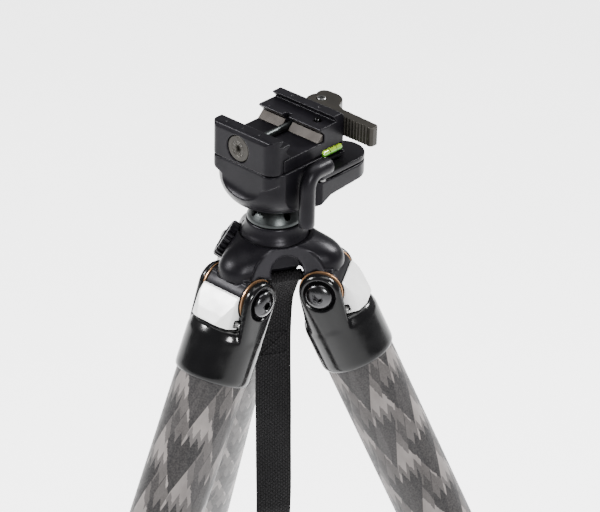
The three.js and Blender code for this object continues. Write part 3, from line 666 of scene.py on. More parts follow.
def strap_sheet():
    route = strap_route()
    lengths = [0.0]
    for a, b in zip(route, route[1:]):
        lengths.append(lengths[-1] + (b - a).length)
    total = lengths[-1]
    columns = 12
    bm = bmesh.new()
    layer = bm.loops.layers.uv.new("UVMap")
    grid = []
    for point, run in zip(route, lengths):
        row = []
        twist = math.radians(26) * math.exp(-((point[1] + 84) / 30) ** 2)
        drift = 2.2 * min(1, max(0, (-20 - point[1]) / 100))
        for i in range(columns + 1):
            across = STRAP_WIDTH * (i / columns - 0.5)
            cup = 0.16 * math.cos(math.pi * (i / columns - 0.5)) * math.sin(run * 0.05)
            out = point[0] + cup + across * math.sin(twist)
            vertex = bm.verts.new((out, across * math.cos(twist) + drift, point[1]))
            row.append((vertex, ((across + 10) * MM, run * MM)))
        grid.append(row)
    for low, high in zip(grid, grid[1:]):
        for i in range(columns):
            corners = [low[i], low[i + 1], high[i + 1], high[i]]
            face = bm.faces.new([vertex for vertex, _ in corners])
            for loop, (_, uv) in zip(face.loops, corners):
                loop[layer].uv = uv
    mesh = bpy.data.meshes.new("strap_webbing")
    bm.to_mesh(mesh)
    bm.free()
    piece = new_object("strap_webbing", mesh)
    settle(piece, "strap_webbing", "hub", "webbing", ["strap"],
           WORLD @ about_z(SLOT_AZIMUTH), weighted=False, degrees=80)
    solidify = piece.modifiers.new("thickness", "SOLIDIFY")
    solidify.thickness = STRAP_PLY * MM
    solidify.offset = 0
    return piece, total


def strap_stitches():
    """Box and cross of thread where the webbing's end is sewn down, on both faces."""
    bm = bmesh.new()
    half = STRAP_WIDTH / 2 - 2.4
    top, bottom = -16.8, -30.2
    lines = [
        ((-half, top), (half, top)), ((-half, bottom), (half, bottom)),
        ((-half, top), (-half, bottom)), ((half, top), (half, bottom)),
        ((-half, top), (half, bottom)), ((half, top), (-half, bottom)),
    ]
    spine = smooth_path(STRAP_PATH, 12)
    for a, b in lines:
        a, b = Vector(a), Vector(b)
        count = int((b - a).length / 2.1)
        for i in range(count):
            first = a.lerp(b, (i + 0.14) / count)
            last = a.lerp(b, (i + 0.86) / count)
            for side in (1.28, -1.28):
                depth = []
                for spot in (first, last):
                    near = min(spine, key=lambda p, z=spot[1]: abs(p[1] - z))
                    depth.append(near[0] + side)
                start = Vector((depth[0], first[0], first[1]))
                end = Vector((depth[1], last[0], last[1]))
                turn = (end - start).to_track_quat("Z", "Y").to_matrix().to_4x4()
                place = Matrix.Translation((start + end) / 2) @ turn
                stretch = Matrix.Diagonal((0.26, 0.26, (end - start).length / 2, 1))
                bmesh.ops.create_uvsphere(
                    bm, u_segments=8, v_segments=6, radius=1, matrix=place @ stretch)
    mesh = bpy.data.meshes.new("strap_stitches")
    bm.to_mesh(mesh)
    bm.free()
    piece = new_object("strap_stitches", mesh)
    return settle(piece, "strap_stitches", "hub", "webbing", matrix=WORLD @ about_z(SLOT_AZIMUTH),
                  weighted=False)


strap, strap_length = strap_sheet()
stitches = strap_stitches()


# ---------- legs ----------
def tube_uv(piece):
    """UV in cells of the pattern: six round the tube, one for each 36 mm along it."""
    mesh = piece.data
    layer = mesh.uv_layers.new(name="UVMap")
    for polygon in mesh.polygons:
        angles = []
        for index in polygon.loop_indices:
            spot = mesh.vertices[mesh.loops[index].vertex_index].co
            angles.append(math.atan2(spot.y, spot.x + LEG_INSET))
        if max(angles) - min(angles) > math.pi:
            angles = [angle + 2 * math.pi if angle < 0 else angle for angle in angles]
        for index, angle in zip(polygon.loop_indices, angles):
            spot = mesh.vertices[mesh.loops[index].vertex_index].co
            layer.data[index].uv = (angle / (2 * math.pi) * 6, spot.z / 36)


def on_tube(piece):
    return moved(piece, Matrix.Translation((-LEG_INSET, 0, 0)))


def hull(points):
    """Smallest convex solid round a cloud of points."""
    bm = bmesh.new()
    for point in points:
        bm.verts.new(point)
    bmesh.ops.convex_hull(bm, input=bm.verts[:])
    bmesh.ops.delete(bm, geom=[vertex for vertex in bm.verts if not vertex.link_faces],
                     context="VERTS")
    return from_bmesh("hull", bm)


def yoke_ear(side):
    """Disc round the bolt whose outer face widens down into the socket's wall."""
    points = []
    for height in (-8, -15):
        points += [(x - LEG_INSET, side * y, height) for x, y in arc(0, 0, 19.2, 74, 128, 12)]
    for reach, distance in ((LUG_RADIUS - 0.4, EAR_INNER), (LUG_RADIUS - 0.4, 16.4), (10.3, 17.7), (9, EAR_OUTER)):
        points += [(x, side * distance, z) for x, z in arc(0, 0, reach, -30, 210, 40)]
    for height, radius in ((-30, YOKE_RADIUS - 0.1), (-25, YOKE_RADIUS - 0.3)):
        points += [(x - LEG_INSET, side * y, height) for x, y in arc(0, 0, radius, 66, 160, 28)]
        points += [(x - LEG_INSET, side * y, height) for x, y in arc(0, 0, 15.5, 70, 150, 8)]
    return hull(points)


def yoke():
    body = on_tube(lathe([
        (0, -15.4), (13, -15.6), (16.6, -16.4), (19.0, -18.6), (YOKE_RADIUS, -22.5),
        (YOKE_RADIUS, -43.4), (19.7, -45), (18.9, -YOKE_END), (0, -YOKE_END),
    ], 96))
    bm = bmesh.new()
    bm.from_mesh(body.data)
    for side in (-1, 1):
        ear = yoke_ear(side)
        bm.from_mesh(ear.data)
        bpy.data.objects.remove(ear)
    bm.to_mesh(body.data)
    bm.free()
    cast_finish(body, 0.5, 14)
    bore = on_tube(lathe([(0, -21.7), (18.5, -21.7), (18.5, -60), (0, -60)], 96))
    lug_room = rod((0, -EAR_INNER, 0), (0, EAR_INNER, 0), LUG_RADIUS + 0.6, 64)
    tab_outline = [(4.6, 20), (30, 20), (30, -17.1), (7, -17.1)] + arc(7, -14.7, 2.4, 270, 180, 4)
    tab_room = prism(tab_outline, -EAR_INNER, EAR_INNER, "Y")
    inside = block((-30, 0), (-EAR_INNER, EAR_INNER), (-11, 20))
    axle = rod((0, -30, 0), (0, 30, 0), 4.3, 32)
    cut(body, bore, lug_room, tab_room, inside, axle)
    for side in (-1, 1):
        dish = lathe([(0, 0), (7.6, 0), (8.9, 1.5), (8.9, 3), (0, 3)], 64)
        turn = Matrix.Rotation(math.radians(-90 * side), 4, "X")
        cut(body, moved(dish, Matrix.Translation((0, side * (EAR_OUTER - 1.3), 0)) @ turn))
    return cast_finish(body, 0.5, 8)


def bolt():
    """Axle with a domed button head and a hex socket at each end."""
    heads = []
    for side in (-1, 1):
        dome = lathe([(0, 0), (6.3, 0), (6.9, 0.5), (6.9, 1.0)] + [
            (6.9 * math.cos(a), 1.0 + 2.8 * math.sin(a))
            for a in [math.radians(12 * i) for i in range(1, 7)]
        ] + [(1.6, 3.9), (0, 3.9)], 64)
        socket = lathe([(0, 1.5), (2.4, 1.5), (2.4, 6), (0, 6)], 6)
        mouth = lathe([(0, 3.3), (2.5, 3.3), (3.2, 4.4), (0, 4.4)], 48)
        head = cut(dome, socket, mouth)
        turn = Matrix.Rotation(math.radians(-90 * side), 4, "X")
        heads.append(moved(head, Matrix.Translation((0, side * (EAR_OUTER - 0.6), 0)) @ turn))
    shaft = rod((0, -EAR_OUTER - 0.8, 0), (0, EAR_OUTER + 0.8, 0), 4, 32)
    return bevelled(join(shaft, *heads), 0.12, 2)


def washer(side):
    disc = lathe([(4.3, 0), (11.2, 0), (11.5, 0.2), (11.5, 0.7), (11.2, 0.9), (4.3, 0.9)], 96)
    turn = Matrix.Rotation(math.radians(-90 * side), 4, "X")
    return moved(disc, Matrix.Translation((0, side * (LUG_HALF + 0.3), 0)) @ turn)


def angle_tab():
    profile = [(11.6, 1), (12.8, 0.2), (14.6, -5), (16.4, -11), (17.6, -16.8), (6.4, -16.8), (5, -13)]
    body = prism(profile, -12.4, 12.4, "Y")
    common(body, on_tube(lathe([(0, 5), (20, 5), (20, -30), (0, -30)], 128)))
    lug_room = rod((0, -20, 0), (0, 20, 0), LUG_RADIUS + 0.3, 96)
    slot = block((0, 10.2), (-20, 20), (-15.4, -11.8))
    cut(body, lug_room, slot)
    return cast_finish(body, 0.33, 16)


def tube(index):
    outer, inner = TUBES[index]
    top = -TUBE_TOPS[index]
    bottom = top - TUBE_LENGTH
    profile = [(inner, bottom), (outer - 0.3, bottom), (outer, bottom + 0.3)]
    rows = 24
    profile += [(outer, bottom + (top - bottom) * i / rows) for i in range(1, rows)]
    profile += [(outer, top - 0.3), (outer - 0.3, top), (inner, top)]
    piece = on_tube(lathe(profile, 96))
    tube_uv(piece)
    return piece


def collar(size, following, end):
    """Twist collar with a ribbed grip."""
    top = -(end - COLLAR_LAP)
    grip = TUBES[size][0] + 3.2
    nose = TUBES[following][0] + 1.6
    ribs = 30
    bm_profile = [
        (TUBES[size][0] + 0.3, top), (grip - 0.9, top), (grip, top - 2), (grip, top - 24),
        (grip - 1.6, top - 30), (nose, top - COLLAR), (TUBES[following][0] + 0.3, top - COLLAR),
        (TUBES[following][0] + 0.3, top - COLLAR_LAP - 0.3), (TUBES[size][0] + 0.3, top - COLLAR_LAP - 0.3),
    ]
    piece = on_tube(lathe(bm_profile, 90))
    for i in range(ribs):
        angle = 360 * i / ribs
        groove = rod((grip + 0.35, 0, top - 22.5), (grip + 0.35, 0, top - 3.5), 0.95, 10)
        groove.data.transform(Matrix.Translation((-LEG_INSET, 0, 0)) @ about_z(angle))
        groove.name = "groove"
    grooves = [o for o in bpy.data.objects if o.name.startswith("groove")]
    merged = grooves[0]
    bm = bmesh.new()
    for groove in grooves:
        bm.from_mesh(groove.data)
    bm.to_mesh(merged.data)
    bm.free()
    for groove in grooves[1:]:
        bpy.data.objects.remove(groove)
    cut(piece, merged)
    return bevelled(piece, 0.2, 2)


def foot():
    end = TUBE_TOPS[2] + TUBE_LENGTH
    centre = end + 12
    profile = arc(0, -centre, 15, -90, 0, 18)
    profile += [(16.4, -centre + 3)]
    for i in range(5):
        z = -end + 1.5 + 2.3 * i
        profile += [(16.4, z), (15.7, z + 0.5), (15.7, z + 1.1), (16.4, z + 1.6)]
    profile += [(16.4, -end + 13), (15.4, -end + 16), (14.6, -end + 16), (14.6, -end - 0.3),
                (0, -end - 0.3)]
    return on_tube(lathe(profile, 96))


def build_legs():
    for name, azimuth in LEGS.items():
        at = leg_matrix(azimuth)
        leg = name + "_leg"
        settle(yoke(), name + "_yoke_casting", leg, "black_enamel", [name + "_yoke"], at, False, 180)
        settle(bolt(), name + "_axle_bolt", leg, "black_screw", [name + "_pivot_bolt"], at)
        for side, letter in ((-1, "a"), (1, "b")):
            settle(washer(side), f"{name}_thrust_washer_{letter}", leg, "bronze",
                   [f"{name}_washer_{letter}"], at)
        settle(angle_tab(), name + "_tab_block", name + "_tab", "silver", [name + "_angle_tab"], at,
               False, 180)
        pin = rod((8.4, -15.6, -13.6), (8.4, 15.6, -13.6), 1.5, 32)
        settle(bevelled(pin, 0.3), name + "_tab_dowel", leg, "steel", [name + "_tab_pin"], at)
        sections = ["upper", "middle", "lower"]
        bodies = [leg, name + "_middle", name + "_lower"]
        for index, (section, body) in enumerate(zip(sections, bodies)):
            settle(tube(index), f"{name}_{section}_carbon", body, "carbon",
                   [f"{name}_{section}_tube"], at)
        for index, section in enumerate(sections[:2]):
            end = TUBE_TOPS[index] + TUBE_LENGTH
            settle(collar(index, index + 1, end), f"{name}_{section}_collar_grip",
                   f"{name}_{section}_collar" if section == "upper" else f"{name}_lower_collar",
                   "rubber", [f"{name}_upper_lock" if index == 0 else f"{name}_lower_lock"], at)
        settle(foot(), name + "_rubber_foot", name + "_lower", "rubber", [name + "_foot"], at)


build_legs()


# ---------- hub ----------
def lobe_share(azimuth):
    third = 2 * math.pi / 3
    start = math.radians(LEGS["right"])
    away = abs(azimuth - start - third * round((azimuth - start) / third))
    tangent = math.atan2(LOBE_RADIUS * math.sin(math.pi / 3), LOBE_DISTANCE + LOBE_RADIUS / 2)
    if away < tangent:
        aside = LOBE_DISTANCE * math.sin(away)
        reach = LOBE_DISTANCE * math.cos(away) + math.sqrt(LOBE_RADIUS ** 2 - aside ** 2)
    else:
        reach = HUB_SIDE / math.cos(math.pi / 3 - away)
    return (reach - HUB_SIDE) / (LOBE_DISTANCE + LOBE_RADIUS - HUB_SIDE)


def smooth_profile(points, steps=6):
    return [tuple(p) for p in smooth_path(points, steps)]


def hub_dome():
    lobe = [(36.7, HUB_UNDERSIDE), (36.4, 33), (35, 35.8), (32.2, 38.6), (27, 41.6), (20.4, 44.3)]
    side = [(24, HUB_UNDERSIDE), (23.8, 32.6), (22.9, 35.2), (21.8, 37.6), (20.6, 40), (19.2, 43)]
    lobe = [(0, HUB_UNDERSIDE)] + smooth_profile(lobe) + [(18.2, 44.3), (18.2, 42.7), (0, 42.7)]
    side = [(0, HUB_UNDERSIDE)] + smooth_profile(side) + [(18.2, 43), (18.2, 42.7), (0, 42.7)]
    piece = lathe([(r + 0.001 * k, z) if r > 0 else (r, z) for k, (r, z) in enumerate(side)], 180)
    spots = {}
    for k, (r, z) in enumerate(side):
        spots[round(z, 3), round(r + 0.001 * k if r > 0 else r, 3)] = k
    keys = list(spots)
    for vertex in piece.data.vertices:
        reach = math.hypot(vertex.co.x, vertex.co.y)
        if reach < 1e-6:
            continue
        near = min(keys, key=lambda key: abs(key[0] - vertex.co.z) + abs(key[1] - reach))
        k = spots[near]
        azimuth = math.atan2(vertex.co.y, vertex.co.x)
        share = lobe_share(azimuth)
        radius = side[k][0] + (lobe[k][0] - side[k][0]) * share
        height = side[k][1] + (lobe[k][1] - side[k][1]) * share
        vertex.co = (radius * math.cos(azimuth), radius * math.sin(azimuth), height)
    return piece


def radial(distance, azimuth, height):
    angle = math.radians(azimuth)
    return (distance * math.cos(angle), distance * math.sin(angle), height)


def knob_matrix():
    tilt = Matrix.Rotation(math.radians(90 - 30), 4, "Y")
    return about_z(210) @ Matrix.Translation(KNOB_SEAT) @ tilt


def hub():
    body = hub_dome()
    join(body, rod((0, 0, 23.6), (0, 0, 30), 13, 64))
    for azimuth in LEGS.values():
        barrel = rod((27.7, -LUG_HALF, 18.8), (27.7, LUG_HALF, 18.8), LUG_RADIUS, 96)
        join(barrel, block((19.6, 33), (-LUG_HALF, LUG_HALF), (18.8, 30)))
        join(body, moved(barrel, about_z(azimuth)))
    for azimuth in (90, 210):
        join(body, moved(block((12, HUB_SIDE - 0.4), (-9, 9), (24.6, 30)), about_z(azimuth)))
    for azimuth in LEGS.values():
        for side in (-1, 1):
            low, high = sorted((side * (LUG_HALF + 0.15), side * 19))
            room = rod((27.7, low, 18.8), (27.7, high, 18.8), LUG_RADIUS + 0.6, 64)
            low, high = sorted((side * 18.4, side * 23.4))
            join(room, rod((27.7, low, 18.8), (27.7, high, 18.8), 7.5, 48))
            cut(body, moved(room, about_z(azimuth)))
        cut(body, moved(rod((27.7, -30, 18.8), (27.7, 30, 18.8), 4.3, 32), about_z(azimuth)))
    cut(
        body,
        rod(radial(26.2, SLOT_AZIMUTH, 25.1), radial(44.4, SLOT_AZIMUTH, 33.4), 20.5, 96),
        rod(radial(18, SLOT_AZIMUTH, 29.5), radial(40, SLOT_AZIMUTH, 35), 8.6, 64),
        moved(block((13.2, 22), (-10, 10), (20, 30.6)), about_z(SLOT_AZIMUTH)),
        lathe([(0, 0), (6.3, 0), (6.3, 60), (0, 60)], 48),
        lathe([(0, 0), (8.8, 0), (8.8, 27.4), (0, 27.4)], 48),
        moved(rod((0, 0, -13.6), (0, 0, 5), 3.5, 32), knob_matrix()),
        moved(rod((0, 0, -0.3), (0, 0, 30), KNOB_RADIUS + 1, 64), knob_matrix()),
    )
    return cast_finish(body, 0.5, 4)


def knob():
    teeth = 22
    rim = []
    for i in range(teeth):
        for part, radius in ((0, KNOB_RADIUS), (0.4, KNOB_RADIUS), (0.58, KNOB_RADIUS - 1.2),
                             (0.82, KNOB_RADIUS - 1.2)):
            angle = 2 * math.pi * (i + part) / teeth
            rim.append((radius * math.cos(angle), radius * math.sin(angle)))
    grip = prism(rim, 0, 5.4)
    crown = lathe([(0, 0), (9.6, 0), (10.6, 1), (10.6, 4.2), (9.4, 5.2), (7.8, 5.4), (7, 4.7), (0, 4.7)], 64)
    common(grip, crown)
    shank = rod((0, 0, -13), (0, 0, 1), 3.2, 32)
    return moved(bevelled(join(grip, shank), 0.15, 2), knob_matrix())


def build_hub():
    settle(hub(), "hub_casting", "hub", "black_anodised", ["apex_hub"], None, False, 180)
    neck = [(17.6, 43.0), (17.55, 43.6), (17.0, 44.8), (16.2, 46.2), (15.5, 48.2), (15.1, 50.3)]
    base = lathe([(6.3, 43.0)] + smooth_profile(neck) + [(15.0, 51.0), (14.6, 51.4), (6.3, 51.4)], 128)
    settle(base, "neck_base", "hub", "black_anodised", ["head_base"])
    settle(knob(), "hub_thumb_screw", "knob", "black_anodised", ["apex_lock_knob"])
    along = Vector(radial(12.6, SLOT_AZIMUTH + 90, 0))
    middle = Vector(radial(STRAP_BAR[0], SLOT_AZIMUTH, STRAP_BAR[1]))
    settle(bevelled(rod(middle - along, middle + along, 1.5, 40), 0.3), "strap_dowel", "hub", "steel",
           ["strap_bar"], finish="dark_steel")
    stud = rod((0, 0, 25), (0, 0, 49.9), 6, 64)
    join(stud, rod((0, 0, 23.6), (0, 0, 27), 8.2, 64))
    settle(bevelled(stud, 0.3), "head_stud", "hub", "steel", ["mounting_stud"])


build_hub()


# ---------- ball head ----------
def ball_and_ring():
    ring = [(14.4, 52.2), (14.4, 53.3), (14.05, 54.1), (12.9, 56.2), (11.7, 57.7), (10.2, 58.9),
            (8.4, 59.8), (6, 60.6)]
    ball = arc(0, BALL_HEIGHT, 12, -60, 90, 40)
    piece = lathe([(0, 51.7), (14.0, 51.7)] + ring + ball[:-1] + [(0, BALL_HEIGHT + 12)], 128)
    for azimuth in (-16.8, 73.2):
        hole = rod(radial(-20, azimuth, 57), radial(20, azimuth, 57), 1.75, 40)
        cut(piece, hole)
    cut(piece, rod((0, 0, 40), (0, 0, 50.9), 6.3, 48))
    return bevelled(piece, 0.18, 2, 40)


def shield_edge():
    """Lower edge of the housing's flat front, left to right."""
    points = curve((-CLAMP_HALF, 84.5), (-16, 80.2), (3, 78), 16)
    return points + curve((3, 78), (14, 79.5), (CLAMP_HALF, 84.5), 16)


def housing():
    bowl_curve = smooth_profile([
        (17, 63.3), (20.2, 64.2), (23.4, 66.3), (26.2, 69.7), (27.9, 73.4), (28.6, 77.5), (28.6, 84)])
    bowl = lathe([(0, 60), (13.6, 63.3)] + bowl_curve + [(28.6, 90), (0, 90)], 160)
    common(bowl, block((-26.5, 22.5), (-30, 30), (60, 90)))
    front_face = [(-40, 95), (-40, 84.5)] + shield_edge() + [(40, 84.5), (40, 95)]
    scallop = [(x, JAW_FRONT - 6.4, z - 0.4) for x, z in [(-30, 88)] + shield_edge() + [(30, 88)]]
    cut(bowl, prism(front_face, -60, JAW_FRONT, "Y"), swept(scallop, (0, 1, 0), 6.4, 6.4, [1]))
    shield = [(-CLAMP_HALF, 89.5), (-CLAMP_HALF, 84.5)] + shield_edge() + [(CLAMP_HALF, 89.5)]
    front = prism(shield, JAW_FRONT, 26, "Y")
    common(front, prism(jaw_plan(26, 12), 60, 95))
    ear_plan = [(-6, 0), (26, -1.5), (29.8, 2)] + arc(18, 29.4, 11.8, 0, 130, 48) + [(-6, 26)]
    ear_side = [(-10, 86), (-10, 66.4), (-2, 66.4), (3, 69), (9, 71.8), (30, 73), (50, 74), (50, 86)]
    ear = common(prism(ear_plan, 60, 90), prism(ear_side, -10, 40, "X"))
    body = join(bowl, front, ear)
    cut(
        body,
        block((-40, 40), (10.4, 60), (EXTENSION_TOP, 95)),
        block((22.5, 40), (-10, 60), (EXTENSION_TOP, 95)),
        moved(lathe(arc(0, 0, 14.5, -90, 90, 40), 96), Matrix.Translation((0, 0, BALL_HEIGHT))),
        lathe([(0, 60), (13.6, 60), (13.6, 63), (11.4, 65.4), (0, 65.4)], 96),
        block((8, 60), (0.5, 60), (81.2, 82.3)),
    )
    for x, y in ((20.5, 21.5), (24, 13.2)):
        cut(body, rod((x, y, EXTENSION_TOP - 1.6), (x, y, 99), 2.3, 40))
    return cast_finish(body, 0.4, 4)


def jaw_plan(rear, steps):
    return (
        [(-CLAMP_HALF, rear)]
        + arc(-CLAMP_HALF + 4, JAW_FRONT + 4, 4, 180, 270, steps)
        + arc(CLAMP_HALF - 6.5, JAW_FRONT + 6.5, 6.5, 270, 360, steps)
        + [(CLAMP_HALF, rear)]
    )


def lock_lever():
    corner = []
    start, one, two, end = (-0.4, 88.6), (-4.9, 88.6), (-7.6, 85.6), (-7.6, 79.6)
    for i in range(17):
        t = i / 16
        corner.append(tuple(
            (1 - t) ** 3 * a + 3 * t * (1 - t) ** 2 * b + 3 * t * t * (1 - t) * c + t ** 3 * d
            for a, b, c, d in zip(start, one, two, end)
        ))
    top = [(8, 88.6), (7.9, 88.6), (7.5, 88.6), (5, 88.6), (2, 88.6)]
    drop = [(-7.6, 74), (-7.6, 68), (-7.6, 64), (-7.6, 60.6), (-7.6, 59.9), (-7.6, 59.6)]
    path = [(28.4, y, z) for y, z in top + corner + drop]
    return swept(path, (1, 0, 0), 4.0, 4.3, [0.84, 0.94, 1])


def build_head():
    settle(ball_and_ring(), "ball_and_ring", "hub", "steel", ["ball_stem"], finish="dark_steel")
    settle(housing(), "housing_casting", "head", "black_anodised", ["head_housing"], None, False, 180)
    settle(lock_lever(), "lock_lever_bar", "lock_handle", "black_anodised", ["lock_lever"],
           weighted=False, degrees=50)
    screw = bevelled(rod((*LOCK_PIVOT, 71), (*LOCK_PIVOT, EXTENSION_TOP), 2.3, 32), 0.3)
    settle(screw, "split_screw", "head", "steel", ["lock_screw"])
    for index, (x, y) in enumerate(((20.5, 21.5), (24, 13.2))):
        head = lathe([(0, 82.8), (2.0, 82.8), (2.0, 83.9), (1.7, 84.3), (0, 84.3)], 40)
        cut(head, lathe([(0, 83.4), (1.0, 83.4), (1.0, 86), (0, 86)], 6))
        moved(head, Matrix.Translation((x, y, 0)))
        settle(head, f"deck_screw_{index}", "head", "black_screw")


build_head()


# ---------- clamp ----------
def clamp_body():
    profile = [
        (CLAMP_FRONT, CLAMP_BOTTOM), (10.8, CLAMP_BOTTOM), (10.8, 85.6), (CLAMP_REAR, 85.6),
        (CLAMP_REAR, 107), (CLAMP_REAR - 1.6, 108.7), (19.4, 108.7), (19.4, 108), (22, 105),
        (9.6, 105), (9, 104.4), (12.4, 101), (12.4, 97), (CLAMP_FRONT, 97),
    ]
    body = prism(profile, -CLAMP_HALF, CLAMP_HALF, "X")
    join(body, block((CLAMP_HALF - 2, CLAMP_HALF + 1.6), (10.8, CLAMP_REAR), (85.6, 87.6)))
    cut(
        body,
        block((18.2, 30), (11.2, CLAMP_REAR - 1), (87.7, 92.4)),
        block((ROD_X - 2, ROD_X + 2), (-30, 12.6), (96.1, 110)),
        rod((ROD_X, -30, ROD_HEIGHT), (ROD_X, 40, ROD_HEIGHT), 2, 40),
        rod((13, 16, 102), (13, 16, 106), 1.9, 32),
        moved(lathe(arc(0, 0, 16.5, -90, 90, 32), 64), Matrix.Translation((0, 0, BALL_HEIGHT))),
    )
    for x in (-10, 8.5):
        cut(body, rod((x, 22.6, 108), (x, 22.6, 112), 0.8, 24))
    for x in (-CLAMP_HALF + 5, 4.5):
        cut(body, block((x, x + 0.6), (10.5, 12.2), (104.6, 106)))
    return cast_finish(body, 0.29, 4)


def front_jaw():
    profile = [
        (JAW_FRONT, CLAMP_BOTTOM), (CLAMP_FRONT - 0.3, CLAMP_BOTTOM), (CLAMP_FRONT - 0.3, 97.4),
        (-12.8, 97.4), (-12.8, 98.6), (-15.6, 101.4), (-12.4, 104.4), (-13, 105), (-20.6, 105),
        (-17.7, 107.9), (-17.7, 108.7), (-23.2, 108.7), (-24.6, 108.1), (JAW_FRONT, 106.2),
    ]
    body = prism(profile, -CLAMP_HALF, CLAMP_HALF, "X")
    common(body, prism(jaw_plan(0, 14), 80, 120))
    seat = rod((ROD_X, JAW_FRONT - 5, ROD_HEIGHT), (ROD_X, JAW_FRONT + 3.2, ROD_HEIGHT), 7.3, 96)
    bore = rod((ROD_X, -40, ROD_HEIGHT), (ROD_X, 0, ROD_HEIGHT), 2, 40)
    cut(body, seat, bore)
    for x in (-13.5, -2.5, 8.5):
        cut(body, rod((x, -21.4, 108.2), (x, -21.4, 112), 0.75, 24))
    return cast_finish(body, 0.27, 7)


def rod_cap():
    profile = [(0, 0.5), (1.9, 0.5), (1.9, 2.2), (6.75, 2.2), (6.9, 2.35), (6.9, 3.5), (6.6, 3.85),
               (4.4, 3.9), (4.25, 3.75), (4.0, 3.75), (3.85, 3.9), (0, 3.9)]
    cap = lathe(profile, 96)
    cut(cap, lathe([(0, 2.4), (1.75, 2.4), (1.75, 5), (0, 5)], 6))
    cut(cap, lathe([(0, 3.5), (1.9, 3.5), (2.5, 4.3), (0, 4.3)], 48))
    bevelled(cap, 0.08, 2)
    turn = Matrix.Rotation(math.radians(90), 4, "X")
    return moved(cap, Matrix.Translation((ROD_X, JAW_FRONT + 4.2, ROD_HEIGHT)) @ turn)


def clamp_lever():
    px, py = LEVER_PIVOT
    shape = []
    for degrees in range(160, 271, 5):
        radius = 9 - 3 * max(0, 270 - degrees) / 110
        shape += arc(px, py, radius, degrees, degrees, 0 + 1)[:1]
    shape += [(px + 6, py - 8.2), (37.4, py - 8.2), (38.4, py - 7), (38.4, py - 3.6), (37, py - 2.6),
              (14, py - 1.6)]
    shape += curve((14, py - 1.6), (9.4, py - 0.6), (8.2, py + 2.6), 10)
    shape += curve((8.2, py + 2.6), (6.4, py + 9.2), (-1, py + 9.4), 14)
    shape += [(-6, py + 9)]
    shape += curve((-6, py + 9), (px - 7, py + 7.6), (px - 6.2, py + 4), 8)
    lever = prism(shape, 94.4, 105)
    cut(
        lever,
        rod((px, py, 80), (px, py, 120), 2.7, 40),
        block((px - 7, px + 4.4), (py - 12, py + 0.4), (ROD_HEIGHT - 2.4, ROD_HEIGHT + 2.4)),
    )
    for i in range(9):
        x = 19 + 2 * i
        cut(lever, rod((x, py - 8.3, 80), (x, py - 8.3, 120), 0.55, 16))
    return cast_finish(lever, 0.28, 3)


def build_clamp():
    settle(clamp_body(), "clamp_block", "head", "black_anodised", ["clamp_body"], None, False, 180)
    settle(front_jaw(), "moving_jaw", "jaw", "black_anodised", ["front_jaw"], None, False, 180)
    settle(rod_cap(), "jaw_cap", "jaw", "olive_anodised", ["rod_cap"])
    shaft = rod((ROD_X, JAW_FRONT + 4, ROD_HEIGHT), (ROD_X, LEVER_PIVOT[1] - 2.8, ROD_HEIGHT), 1.7, 48)
    settle(bevelled(shaft, 0.2), "cross_rod", "jaw", "steel", ["draw_rod"], finish="dark_steel")
    spans = {"left": (-20.6, ROD_X - 2.4), "right": (ROD_X + 2.4, 20.2)}
    for side, (low, high) in spans.items():
        strip = prism([(8.4, 97.3), (12.1, 97.3), (12.1, 100.9)], low, high, "X")
        settle(bevelled(strip, 0.15), f"wedge_strip_{side}", "head", "bronze", [f"grip_strip_{side}"],
               finish="dull_bronze")
    stop = lathe([(0, 102.3), (1.6, 102.3), (1.6, 105.9), (1.3, 106.3), (0, 106.3)], 40)
    cut(stop, lathe([(0, 105.2), (0.8, 105.2), (0.8, 108), (0, 108)], 6))
    settle(moved(stop, Matrix.Translation((13, 16, 0))), "stop_cap_screw", "head", "black_screw",
           ["stop_screw"])
    settle(clamp_lever(), "lever_casting", "clamp_handle", "olive_anodised", ["clamp_lever"],
           weighted=False, degrees=180)
    px, py = LEVER_PIVOT
    pin = lathe([(0, 93.8), (2.4, 93.8), (2.4, 105.1), (2.1, 105.4), (0, 105.4)], 48)
    cut(pin, lathe([(0, 104.4), (1.2, 104.4), (1.2, 107), (0, 107)], 6))
    settle(moved(pin, Matrix.Translation((px, py, 0))), "lever_dowel", "jaw", "steel", ["lever_pin"])


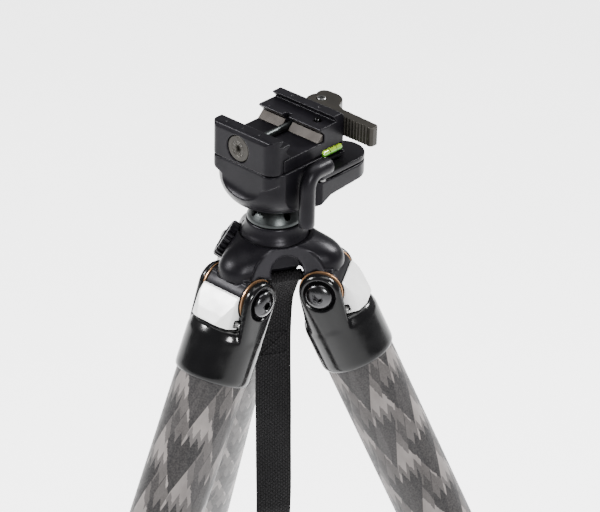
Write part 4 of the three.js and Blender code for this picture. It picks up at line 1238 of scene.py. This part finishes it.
def build_level():
    length = CLAMP_REAR - 1.4 - 11.6
    tube_profile = [(0, 0), (1.2, 0.0), (1.6, 0.35), (1.75, 0.9), (1.75, length - 0.9),
                    (1.6, length - 0.35), (1.2, length), (0, length)]
    vial = lathe(tube_profile, 64)
    turn = Matrix.Rotation(math.radians(-90), 4, "X")
    moved(vial, Matrix.Translation((20.4, 11.6, 90)) @ turn)
    settle(vial, "bubble_vial", "head", "vial", ["level_vial"])
    for index, shift in enumerate((4.6, length - 4.6)):
        ring = lathe([(1.72, 0), (1.8, 0), (1.8, 0.35), (1.72, 0.35)], 64)
        moved(ring, Matrix.Translation((20.4, 11.6 + shift, 90)) @ turn)
        settle(ring, f"vial_mark_{index}", "head", "rubber")


build_clamp()
build_level()


# ---------- inner nodes that keep their CAD shape ----------
for node, material in {"ball_liner": "polymer", "pressure_cup": "bronze"}.items():
    inner = frame["nodes"][node]
    for slot in inner.material_slots:
        slot.material = MATERIALS[material]


# ---------- floor and light ----------
def studio():
    floor_mesh = bpy.data.meshes.new("floor")
    floor_mesh.from_pydata(
        [(-9, -9, 0), (9, -9, 0), (9, 9, 0), (-9, 9, 0)], [], [(0, 1, 2, 3)])
    floor = new_object("floor", floor_mesh)
    floor.location.z = -0.0005
    graph = Graph("pale_floor")
    colour = graph.ramp(graph.noise(3, 3), (0.3, (0.93, 0.93, 0.93)), (0.7, (0.96, 0.96, 0.96)))
    graph.link(colour, graph.shader.inputs["Base Color"])
    graph.shader.inputs["Roughness"].default_value = 0.9
    graph.link(colour, graph.shader.inputs["Emission Color"])
    graph.shader.inputs["Emission Strength"].default_value = 2.9
    floor_mesh.materials.append(graph.material)

    world = bpy.data.worlds.new("studio")
    world.use_nodes = True
    world.node_tree.nodes["Background"].inputs["Color"].default_value = (1, 1, 1, 1)
    world.node_tree.nodes["Background"].inputs["Strength"].default_value = 0.3
    bpy.context.scene.world = world

    lights = [
        ("key", (-0.75, -0.75, 1.75), 0.34, 52),
        ("right", (1.05, -0.45, 1.35), 0.3, 26),
        ("back", (0.35, 1.1, 1.7), 0.4, 44),
        ("floor_wash", (0.0, 0.6, 3.2), 2.4, 90),
    ]
    for name, place, size, power in lights:
        data = bpy.data.lights.new(name, "AREA")
        data.shape = "DISK"
        data.size = size
        data.energy = power
        light = bpy.data.objects.new(name, data)
        bpy.context.scene.collection.objects.link(light)
        light.location = place
        target = ORIGIN + Vector((0, 0, 0.06)) if name != "floor_wash" else Vector((0, 0, 0))
        light.rotation_euler = (target - Vector(place)).to_track_quat("-Z", "Y").to_euler()


studio()
